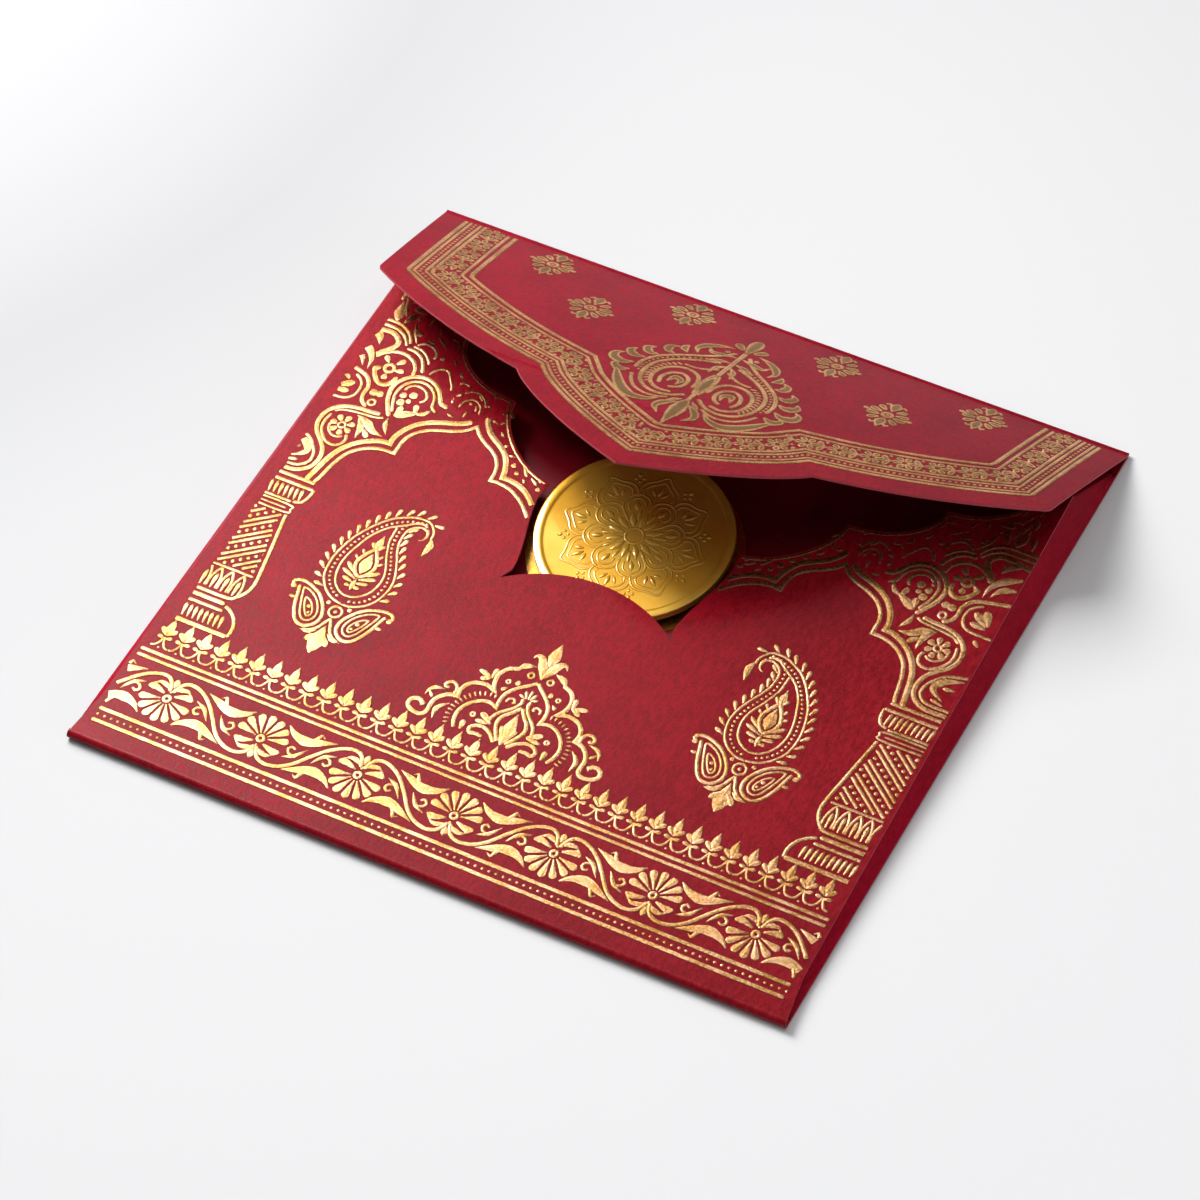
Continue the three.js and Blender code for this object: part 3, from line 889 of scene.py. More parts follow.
@dataclass
class Paisley:
    """The large paisley at each side of the front panel, here the right one."""

    centre: float = 35.7

    OUTSIDE = (28.85, 56.9, 29.0, 58.2, 29.6, 59.2, 30.4, 59.9, 31.6, 60.1, 33.1, 59.9, 34.6, 59.25, 36.1,
               58.4, 37.5, 57.0, 38.6, 55.5, 39.5, 54.0, 40.35, 52.25, 41.0, 50.0, 41.35, 48.0, 41.35, 46.0,
               41.0, 44.0, 40.1, 42.4, 38.85, 41.1, 37.35, 40.25, 35.7, 39.9)
    HOLLOW = (35.7, 39.9, 34.1, 40.0, 32.35, 40.9, 31.1, 42.25, 30.35, 44.0, 30.1, 46.0, 30.35, 47.75, 31.0,
              49.5, 31.85, 51.25, 32.6, 52.75, 33.1, 54.25, 33.25, 55.75, 33.1, 57.0, 32.6, 57.8, 31.85,
              58.3, 31.0, 58.55, 30.2, 58.3)
    INSIDE = (35.0, 57.0, 36.1, 56.3, 37.2, 55.0, 38.1, 53.5, 38.7, 51.75, 39.25, 50.0, 39.6, 48.0, 39.6,
              46.25, 39.2, 44.5, 38.35, 43.0, 37.1, 42.0, 35.7, 41.65, 34.35, 42.0, 33.1, 43.0, 32.35,
              44.25, 32.0, 46.0, 32.1, 47.5, 32.6, 49.0, 33.35, 50.5, 34.1, 52.25, 34.7, 54.0, 34.85, 55.75,
              35.0, 57.0)

    def satellite(self) -> Motif:
        """The small paisley low at the outer side, curling outwards."""
        return draw(
            (LINE, 0.66, 44.3, 39.9, 44.7, 40.7, 44.2, 41.25, 43.1, 41.45, 41.6, 41.1, 39.85, 40.25, 38.6,
             39.0,
             37.65, 37.5, 37.3, 36.0, 37.7, 34.7, 38.85, 33.8, 40.1, 33.75, 41.1, 34.5, 42.0, 36.0, 42.6,
              37.5,
             43.0, 39.0, 43.5, 40.6),
            (RING, 0.42, 42.5, 40.3, 41.4, 40.2, 39.9, 39.3, 38.7, 37.8, 38.25, 36.2, 38.7, 35.1, 39.7, 34.75,
             40.6, 35.4, 41.4, 37.0, 42.1, 38.8),
            (RING, 0.38, 41.3, 38.8, 40.2, 38.3, 39.25, 37.0, 39.1, 36.0, 39.6, 35.6, 40.4, 36.5, 41.1, 37.8),
            (DOT, 0.4, 40.1, 37.4), (DOT, 0.32, 39.6, 36.3), (PETAL, 0.7, 42.6, 38.0, 44.1, 38.1),
            (DOT, 0.5, 44.35, 40.0),
        )

    def fringe(self, path: np.ndarray, pitch: float, lean: float, side: float) -> Motif:
        """Leaves set along a line, leaning towards its end.

        Args:
            path: The line that they stand beside.
            pitch: Distance between them.
            lean: Degrees that they lean along the line.
            side: 1 to stand on its left and -1 on its right.

        Returns:
            The leaves.
        """
        leaf = draw((PETAL, 0.8, 0, 0.5, 0, 2.3))
        return together(leaf.moved(x, v, turn + (0 if side > 0 else 180) - side * lean)
                        for x, v, turn in spaced(path, pitch, 0.2))

    def motif(self) -> Motif:
        """One whole paisley."""
        outside, hollow, inside = (
            smooth(np.array(k).reshape(-1, 2), False) for k in (self.OUTSIDE, self.HOLLOW, self.INSIDE)
        )
        lines = draw(
            (LINE, 0.46, *self.OUTSIDE), (LINE, 0.46, *self.HOLLOW), (RING, 0.44, *self.INSIDE[:-2]),
            (LINE, 0.42, 35.2, 57.0, 33.7, 58.0, 32.4, 58.9, 31.2, 59.2, 30.3, 58.9),
            (LEAF, 0.62, 31.6, 58.4, 30.2, 58.3, 29.7, 57.3, 30.1, 56.3, 30.7, 56.1),
            (LEAF, 1.35, 28.9, 57.4, 28.4, 56.0, 28.45, 54.8, 28.7, 53.4),
        )
        outer_mid = beside(outside, -0.88)
        inner_mid = beside(hollow, -0.9)
        beads = together(
            draw((DOT, 0.27, x, v)) for x, v, _ in spaced(outer_mid, 0.86, 1.2) + spaced(inner_mid, 0.86, 0.6)
        )
        leaves = self.fringe(outside[14:-16], 1.62, -50, 1) + self.fringe(hollow[22:-28], 1.6, 50, 1)
        plant = draw(
            (BUD, 2.3, 0, -1.8, 0, 2.5),
            *pair(LINE, 0.72, 0, 3.6, 1.05, 1.9, 1.65, 0.1, 1.1, -1.6, 0, -2.6),
            (BUD, 1.5, 0, 3.0, 0, 6.4), *pair(PETAL, 0.7, 0.4, 3.4, 1.1, 4.6),
            *pair(PETAL, 0.6, 1.3, 1.8, 1.9, 2.8), *pair(PETAL, 0.62, 1.7, 0.5, 2.5, 1.4),
            *pair(PETAL, 0.85, 0.9, -2.1, 3.0, -0.4), *pair(PETAL, 0.85, 0.3, -3.0, 3.1, -1.9),
            *pair(PETAL, 0.8, 0.2, -3.8, 2.4, -3.3), *pair(PETAL, 0.75, 0.1, -4.7, 1.4, -4.5),
            (BUD, 1.0, 0, -5.3, 0, -2.6),
        ).moved(x=35.85, v=48.2)
        foot = draw(
            (RING, 0.5, 0, 38.15, 1.05), (DOT, 0.34, 0, 38.15),
            *pair(LINE, 0.6, 0.1, 36.8, -0.5, 35.7, -1.0, 34.5, -2.0, 33.5, -3.3, 33.0),
            *pair(LEAF, 0.95, -0.9, 33.9, -2.2, 33.1, -3.6, 33.0),
            (BUD, 3.0, 0, 29.5, 0, 35.2), *pair(PETAL, 1.3, 0, 33.6, -2.0, 31.5),
            *pair(DOT, 0.42, 1.9, 39.35),
        ).moved(x=self.centre)
        small = self.satellite()
        other = small.moved(x=2 * self.centre, flip=True)
        return lines + beads + leaves + plant + foot + small + other


@dataclass
class Pillar:
    """The pillar under each end of the arch, here the right one."""

    side: float = ART_RIGHT

    def motif(self) -> Motif:
        """One whole pillar, cut off straight at its outer side."""
        e = self.side + 0.6
        rules = draw(
            (LINE, 0.85, e, 26.6, 49.0, 26.6),
            (LINE, 0.66, 48.9, 26.5, 48.85, 27.9, 49.1, 29.1, 49.9, 30.4, 51.0,
                                                31.3, 52.2, 31.8),
            (LINE, 0.62, e, 30.75, 52.0, 30.75), (LINE, 0.8, e, 32.1, 52.4, 32.1),
            (LINE, 0.66, e, 33.3, 53.0, 33.3, 51.5, 34.0, 50.5, 35.4, 50.1, 37.05, 50.25, 39.0, 50.8, 42.3,
             51.4, 45.7, 52.0, 49.0, 52.5, 51.8),
            (LINE, 0.42, e, 52.1, 53.0, 52.1, 52.3, 52.9, 53.0, 53.7, e, 53.7),
            (LINE, 0.3, e, 52.9, 53.2, 52.9),
            (LINE, 0.6, 52.8, 54.4, 51.5, 54.9, 50.9, 56.2, 50.8, 57.9), (LINE, 0.55, e, 54.35, 53.0, 54.35),
            (LINE, 0.66, e, 57.75, 50.8, 57.75), (LINE, 0.7, e, 59.05, 51.2, 59.05),
            (LINE, 0.5, e, 38.6, 51.0, 38.6),
        )
        flutes = together(
            draw((PETAL, 0.72, 0, 27.5, 0.3, 30.0)).moved(x=59.6 - 0.95 * i) for i in range(10)
        ) + together(
            draw((PETAL, 0.7, 0, 54.8, 0.35, 57.3)).moved(x=59.4 - 0.92 * i) for i in range(9)
        )
        bulb = together(
            draw((LINE, 0.5, -0.85, 34.1, -0.8, 36.2, 0, 38.1, 0.8, 36.2, 0.85, 34.1),
                 (PETAL, 0.75, 0, 34.0, 0, 37.0)).moved(x=x)
            for x in (60.2, 58.3, 56.4, 54.4, 52.3)
        )
        bands = []
        for i in range(22):
            v = 27.5 + 1.18 * i
            if i % 3 == 2:
                bands.append(together(
                    draw((DOT, 0.36, 59.6 - 1.0 * k, v + 0.78 * k)) for k in range(10)
                ))
            else:
                bands.append(draw((LINE, 0.58, 60.6, v - 0.8, 50.6, v + 7.0)))
        shaft = together(bands).kept(
            lambda p: (p[:, 1] > 39.2) & (p[:, 1] < 51.5)
            & (p[:, 0] > np.interp(p[:, 1], (39, 42.3, 45.7, 51.8), (50.95, 51.5, 52.1, 53.2)))
        )
        return rules + flutes + bulb + shaft


@dataclass
class MouthArch:
    """The double line that follows the mouth in cusps, and the foil line along the cut edge."""

    lobe_x: tuple[float, ...] = (17.1, 29.885, 43.115, 56.0)
    lobe_v: tuple[float, ...] = (75.0, 87.51, 96.45, 107.5)
    pull: tuple[tuple[float, ...], ...] = (
        (0.45, 0.06, 0.02, 0.45), (0.58, 0.01, 0.01, 0.5), (0.55, 0.02, 0.02, 0.5))
    pocket: tuple[tuple[float, ...], ...] = (
        (57.3, 64.5, 67.3, 69.4, 71.6, 75.0), (14.3, 15.74, 16.55, 17.06, 17.4, 17.1))

    def cut(self) -> np.ndarray:
        """Points along the mouth's scalloped cut, from the coin's pocket out to the corner."""
        t = np.linspace(0, 1, 19)[:, None]
        spans = []
        for i, (ax, ay, bx, by) in enumerate(self.pull):
            a = np.array((self.lobe_x[i], self.lobe_v[i]))
            d = np.array((self.lobe_x[i + 1], self.lobe_v[i + 1]))
            b, c = a + (d - a) * (ax, ay), d - (d - a) * (bx, by)
            span = a * (1 - t) ** 3 + 3 * b * t * (1 - t) ** 2 + 3 * c * t**2 * (1 - t) + d * t**3
            spans.append(span if i == 0 else span[1:])
        return np.concatenate(spans)

    def inside(self, points: np.ndarray, margin: float = 0.55) -> np.ndarray:
        """Whether points lie on the card, clear of its cut edge."""
        x = np.abs(points[:, 0])
        limit = np.interp(x, *self.cut().T)
        return (points[:, 1] < limit - margin) & (x < ART_RIGHT)

    def clear_of_coin(self, points: np.ndarray, margin: float = 0.3) -> np.ndarray:
        """Whether points lie on the card beside the coin's pocket."""
        return np.abs(points[:, 0]) > np.interp(points[:, 1], *self.pocket) + margin

    def motif(self) -> Motif:
        """Half of the arch, with the leaves and dots between it and the cut edge."""
        lines = draw(
            (LINE, 0.72, 51.7, 59.2, 51.3, 60.6, 51.0, 62.3, 50.55, 64.4, 49.7, 66.6, 48.4, 68.1, 46.9, 69.1,
             44.9, 69.75, 42.75, 69.85, 42.75, 69.85, 42.7, 71.2, 42.7, 72.4, 42.3, 73.8, 41.4, 75.1, 40.1,
              76.2,
             38.4, 77.0, 36.4, 77.7, 34.8, 78.5, 33.9, 79.25, 33.05, 80.2, 33.05, 80.2, 32.0, 79.0, 30.5,
              77.9,
             28.75, 77.0, 27.25, 75.8, 26.4, 74.5, 26.0, 73.0, 25.95, 71.45, 25.95, 71.45, 24.4, 71.55, 22.5,
             71.25, 20.75, 70.5, 18.9, 69.2, 17.3, 67.6, 16.2, 66.3),
            (LINE, 1.05, 53.05, 59.0, 52.85, 60.5, 52.5, 62.25, 52.2, 63.8, 51.65, 65.75, 50.8, 67.4, 49.5,
             69.0,
             47.75, 70.3, 45.8, 71.15, 44.3, 71.3, 44.3, 71.3, 44.35, 72.4, 43.9, 74.0, 43.2, 75.3, 41.9,
              76.8,
             40.1, 78.0, 38.2, 78.8, 36.4, 79.4, 35.2, 80.0, 34.2, 80.8),
            (LINE, 1.05, 32.35, 82.6, 31.5, 81.1, 30.0, 79.6, 28.0, 78.4, 26.5, 77.3, 25.4, 75.75, 24.75,
             74.2,
             24.4, 72.75, 24.4, 72.75, 23.0, 72.8, 21.0, 72.35, 19.25, 71.4, 17.75, 70.1, 16.2, 68.2),
        )
        cut = self.cut()
        edge = Motif((stroke(LINE, 0.4, cut + mitre(cut, False) * -0.5, 0.5),))
        marks = draw(
            (LEAF, 0.6, 31.4, 82.5, 30.4, 82.2), (PETAL, 0.5, 29.9, 82.2, 29.4, 83.1),
            (LEAF, 0.7, 29.0, 80.9, 28.0, 80.1),
            (LEAF, 0.65, 27.2, 78.4, 26.5, 79.1), (LEAF, 0.6, 25.7, 77.2, 24.4, 77.3), (DOT, 0.5, 23.9, 75.7),
            (DOT, 0.45, 22.75, 74.5), (PETAL, 0.7, 22.4, 76.4, 20.9, 74.5),
            (PETAL, 0.6, 21.3, 73.9, 20.6, 73.2),
            (PETAL, 0.7, 20.1, 74.6, 18.5, 73.6), (DOT, 0.46, 18.1, 73.0),
            (PETAL, 0.5, 18.9, 75.0, 18.3, 74.3),
            (PETAL, 0.6, 17.7, 74.4, 16.4, 73.9), (PETAL, 0.5, 17.1, 72.0, 16.6, 71.0),
            (LINE, 0.4, 30.6, 84.2, 29.6, 85.0, 28.6, 84.2), (DOT, 0.3, 33.3, 84.8),
            (PETAL, 0.5, 34.9, 85.3, 35.9, 86.3),
        )
        return lines + edge + marks


@dataclass
class Spandrel:
    """Scrolls and flowers that fill the corner above each arch, here the right one."""

    arch: MouthArch = field(default_factory=MouthArch)

    def flower(self) -> Motif:
        """The small flower in the lower scroll: a ring with seven petals about it."""
        return (fan(7, 0, 360, 1.0, 2.7, 1.5) + draw((RING, 0.62, 0, 0, 0.72))).moved(53.3, 71.5, 14, 0.8)

    def motif(self) -> Motif:
        """One corner, cut off at the card's edges."""
        low = draw(
            (LINE, 0.85, 60.9, 60.2, 56.8, 60.15, 55.2, 60.6, 54.0, 61.5, 53.35, 62.9, 53.35, 64.6, 54.0,
             66.2,
             55.3, 67.6, 56.5, 68.8, 57.2, 70.3, 57.25, 71.9, 56.8, 73.3, 55.7, 74.5, 54.1, 75.3, 52.3, 75.65,
             50.3, 75.75, 48.6, 76.0),
            (LINE, 0.6, 56.0, 72.9, 56.3, 71.3, 56.1, 69.8, 55.2, 68.4, 53.9, 67.4, 52.5, 67.3, 51.5, 68.1,
             51.3, 69.3, 51.8, 70.0),
            (LINE, 0.5, 55.8, 73.6, 54.8, 74.3, 53.0, 74.7, 51.0, 74.9, 49.0, 75.1, 47.8, 75.6),
            (LINE, 0.6, 60.9, 68.3, 57.2, 67.3, 55.7, 66.0, 54.7, 64.6, 54.45, 63.0, 55.2, 61.8, 56.6, 61.2,
             60.9, 61.1),
            (LEAF, 1.5, 59.9, 67.3, 57.2, 66.2, 55.9, 64.7, 56.5, 63.6, 58.2, 62.6),
            (PETAL, 0.8, 59.2, 65.1, 57.3, 64.9),
            (PETAL, 0.7, 58.6, 61.8, 56.4, 62.3),
            (LINE, 0.5, 55.3, 71.2, 55.0, 70.0, 54.0, 69.1, 52.9, 69.0, 52.1, 69.5),
            (LEAF, 1.7, 51.9, 74.3, 49.9, 73.6, 48.2, 72.4, 46.2, 72.1),
            (LEAF, 1.3, 51.6, 74.0, 50.4, 72.4, 50.1, 70.0),
            (PETAL, 1.1, 49.9, 72.3, 48.3, 70.7), (LEAF, 1.0, 47.1, 75.9, 46.9, 74.4, 45.9, 72.7),
            (LINE, 0.85, 47.2, 76.1, 48.2, 77.6, 49.1, 79.2, 49.6, 81.0, 49.5, 82.6, 48.7, 84.0, 47.4, 85.1,
             45.6, 85.6, 43.9, 85.3, 42.4, 84.3, 41.4, 82.9, 40.6, 81.9, 39.3, 81.6),
            (LINE, 0.6, 47.2, 77.2, 48.0, 78.9, 48.5, 80.6, 48.4, 82.2, 47.6, 83.6, 46.2, 84.5, 44.5, 84.5,
             43.0, 83.6, 42.1, 82.2, 41.7, 80.7, 40.6, 80.0),
            (LINE, 0.55, 47.5, 82.0, 47.1, 83.0, 46.1, 83.6, 44.8, 83.5, 43.8, 82.8, 43.4, 81.7, 44.0, 80.7),
            (DOT, 0.75, 45.6, 81.6), (DOT, 0.65, 47.2, 81.0), (DOT, 0.75, 46.9, 79.5), (DOT, 0.5, 45.8, 80.2),
            (PETAL, 1.7, 43.2, 78.6, 46.7, 76.7), (PETAL, 1.2, 46.5, 76.9, 46.1, 79.0),
            (PETAL, 1.1, 43.6, 78.3, 44.2, 80.2),
            (LEAF, 1.0, 43.6, 78.2, 42.2, 79.0, 41.4, 80.4),
            (LINE, 0.8, 51.6, 76.4, 52.8, 77.2, 53.3, 78.6, 53.3, 80.2, 54.2, 81.7, 55.8, 82.5, 60.9, 83.7),
            (LINE, 0.55, 60.9, 76.3, 56.8, 76.4, 55.3, 76.9, 54.5, 78.0, 54.4, 79.6, 55.0, 80.9, 56.4, 81.8),
            (PETAL, 1.6, 58.6, 78.4, 57.2, 81.2), (PETAL, 1.4, 58.4, 78.2, 55.6, 80.2),
            (PETAL, 1.2, 58.4, 77.7, 55.7, 78.1),
            (PETAL, 0.8, 58.8, 74.2, 57.7, 75.2),
            (DOT, 0.75, 51.9, 79.5), (DOT, 0.7, 50.8, 79.6), (RING, 0.45, 51.2, 77.6, 0.62),
        ) + self.flower()
        high = draw(
            (LINE, 0.9, 54.4, 84.5, 53.6, 82.9, 52.4, 81.7, 51.1, 81.6, 50.2, 82.6, 50.0, 83.9),
            (PETAL, 1.2, 52.0, 83.9, 51.9, 82.5), (RING, 0.7, 52.0, 85.0, 0.8),
            (PETAL, 1.1, 52.6, 86.0, 53.8, 87.2),
            (PETAL, 1.2, 51.3, 86.2, 50.2, 87.5), (PETAL, 1.1, 51.0, 84.9, 49.4, 85.3),
            (PETAL, 1.0, 53.2, 84.9, 54.2, 83.9),
            (LINE, 0.72, 55.3, 86.3, 54.2, 87.6, 52.6, 88.5, 50.8, 88.6, 49.3, 88.0, 48.2, 86.8, 47.8, 85.2),
            (LINE, 0.72, 51.4, 89.9, 49.7, 89.8, 48.2, 89.0, 47.2, 87.6, 46.6, 86.3),
            (LINE, 0.5, 50.6, 90.7, 48.9, 90.5, 47.4, 89.5, 46.4, 88.3),
            (LINE, 0.5, 50.2, 91.2, 48.8, 92.0, 47.3, 91.7, 46.3, 90.7, 46.3, 89.6),
            (LINE, 1.0, 60.9, 91.0, 56.9, 91.7, 55.1, 91.8, 53.8, 91.1, 53.2, 90.0, 53.7, 88.8, 54.7, 87.7,
             55.5, 86.6),
            (LEAF, 1.6, 58.6, 90.9, 56.9, 90.5, 56.0, 88.8),
            (LEAF, 1.5, 60.5, 89.2, 57.2, 87.4, 55.7, 85.6, 55.3, 83.4),
            (LEAF, 1.3, 60.2, 86.6, 57.6, 85.7, 56.4, 83.8),
            (LINE, 0.7, 60.9, 93.9, 55.5, 94.0, 53.6, 93.5, 52.2, 92.4, 51.3, 90.9),
            (LINE, 0.7, 60.9, 92.8, 55.6, 92.9, 53.9, 92.5, 52.5, 91.5, 51.7, 90.3),
            (BUD, 2.1, 55.8, 94.3, 56.7, 98.4), (PETAL, 1.3, 54.4, 94.4, 53.3, 96.9),
            (LEAF, 0.9, 54.8, 95.8, 55.6, 97.6, 56.4, 99.4),
            (PETAL, 1.3, 57.2, 98.6, 56.8, 100.6),
            (LINE, 0.6, 55.2, 98.9, 54.2, 99.2, 53.4, 98.5, 53.9, 97.7, 51.9, 97.5),
            (DOT, 0.35, 52.5, 96.2), (LEAF, 0.8, 52.6, 95.4, 51.7, 93.4, 50.5, 91.4),
            (PETAL, 0.9, 51.6, 92.8, 50.4, 93.6),
            (PETAL, 1.0, 58.4, 94.6, 58.0, 97.2), (LEAF, 0.7, 55.0, 99.4, 56.2, 101.4),
        )
        shaded = draw(
            (PETAL, 0.45, 50.2, 95.5, 50.3, 97.1), (PETAL, 0.5, 48.4, 96.0, 47.7, 94.8),
            (LEAF, 0.5, 47.9, 94.0, 46.9, 93.6, 45.5, 92.4),
            (LINE, 0.4, 45.4, 94.7, 44.0, 94.5), (PETAL, 0.4, 44.0, 94.2, 43.4, 93.0),
            (DOT, 0.42, 45.0, 90.3),
            (PETAL, 0.55, 43.1, 91.2, 42.3, 90.1), (LINE, 0.42, 49.0, 93.0, 47.6, 92.6),
            (LINE, 0.42, 45.4, 86.5, 45.1, 87.3, 44.3, 88.2, 43.2, 88.5, 42.4, 88.0, 41.7, 87.0, 40.9, 85.9,
             40.6, 85.1),
            (PETAL, 0.55, 40.8, 89.2, 40.1, 88.0), (LINE, 0.4, 39.9, 86.8, 39.2, 87.4, 38.1, 87.1),
            (PETAL, 0.6, 39.3, 84.4, 38.4, 85.2), (PETAL, 0.5, 39.4, 84.0, 39.2, 82.8),
            (LINE, 0.36, 37.8, 82.6, 37.5, 83.9, 36.6, 84.8, 35.5, 84.8, 34.5, 84.0, 34.1, 82.7),
            (DOT, 0.34, 36.3, 84.0),
            (LINE, 0.36, 38.2, 85.6, 37.0, 86.4, 35.7, 86.4, 34.5, 85.6, 33.7, 84.3),
            (PETAL, 0.4, 35.2, 84.0, 34.9, 82.9),
            (PETAL, 0.45, 36.2, 80.9, 36.1, 82.4), (LEAF, 0.6, 38.8, 80.6, 37.6, 80.3),
            (LINE, 0.4, 48.8, 98.6, 47.8, 99.2, 46.9, 98.6, 47.2, 97.6, 48.2, 97.5),
            (LEAF, 0.5, 49.6, 99.6, 51.2, 101.4),
            (LINE, 0.42, 54.2, 100.4, 54.6, 101.8, 53.6, 103.0, 52.6, 102.2), (DOT, 0.4, 50.8, 99.2),
            (PETAL, 0.7, 56.9, 101.4, 56.6, 103.4), (LEAF, 0.7, 55.6, 102.6, 54.8, 104.8),
            (DOT, 0.34, 41.9, 92.6),
            (LEAF, 0.5, 46.6, 96.6, 45.4, 95.9), (DOT, 0.36, 51.6, 103.6), (DOT, 0.3, 38.2, 90.4),
            (DOT, 0.3, 33.2, 87.0),
        )
        return (low + high + shaded).kept(self.arch.inside)


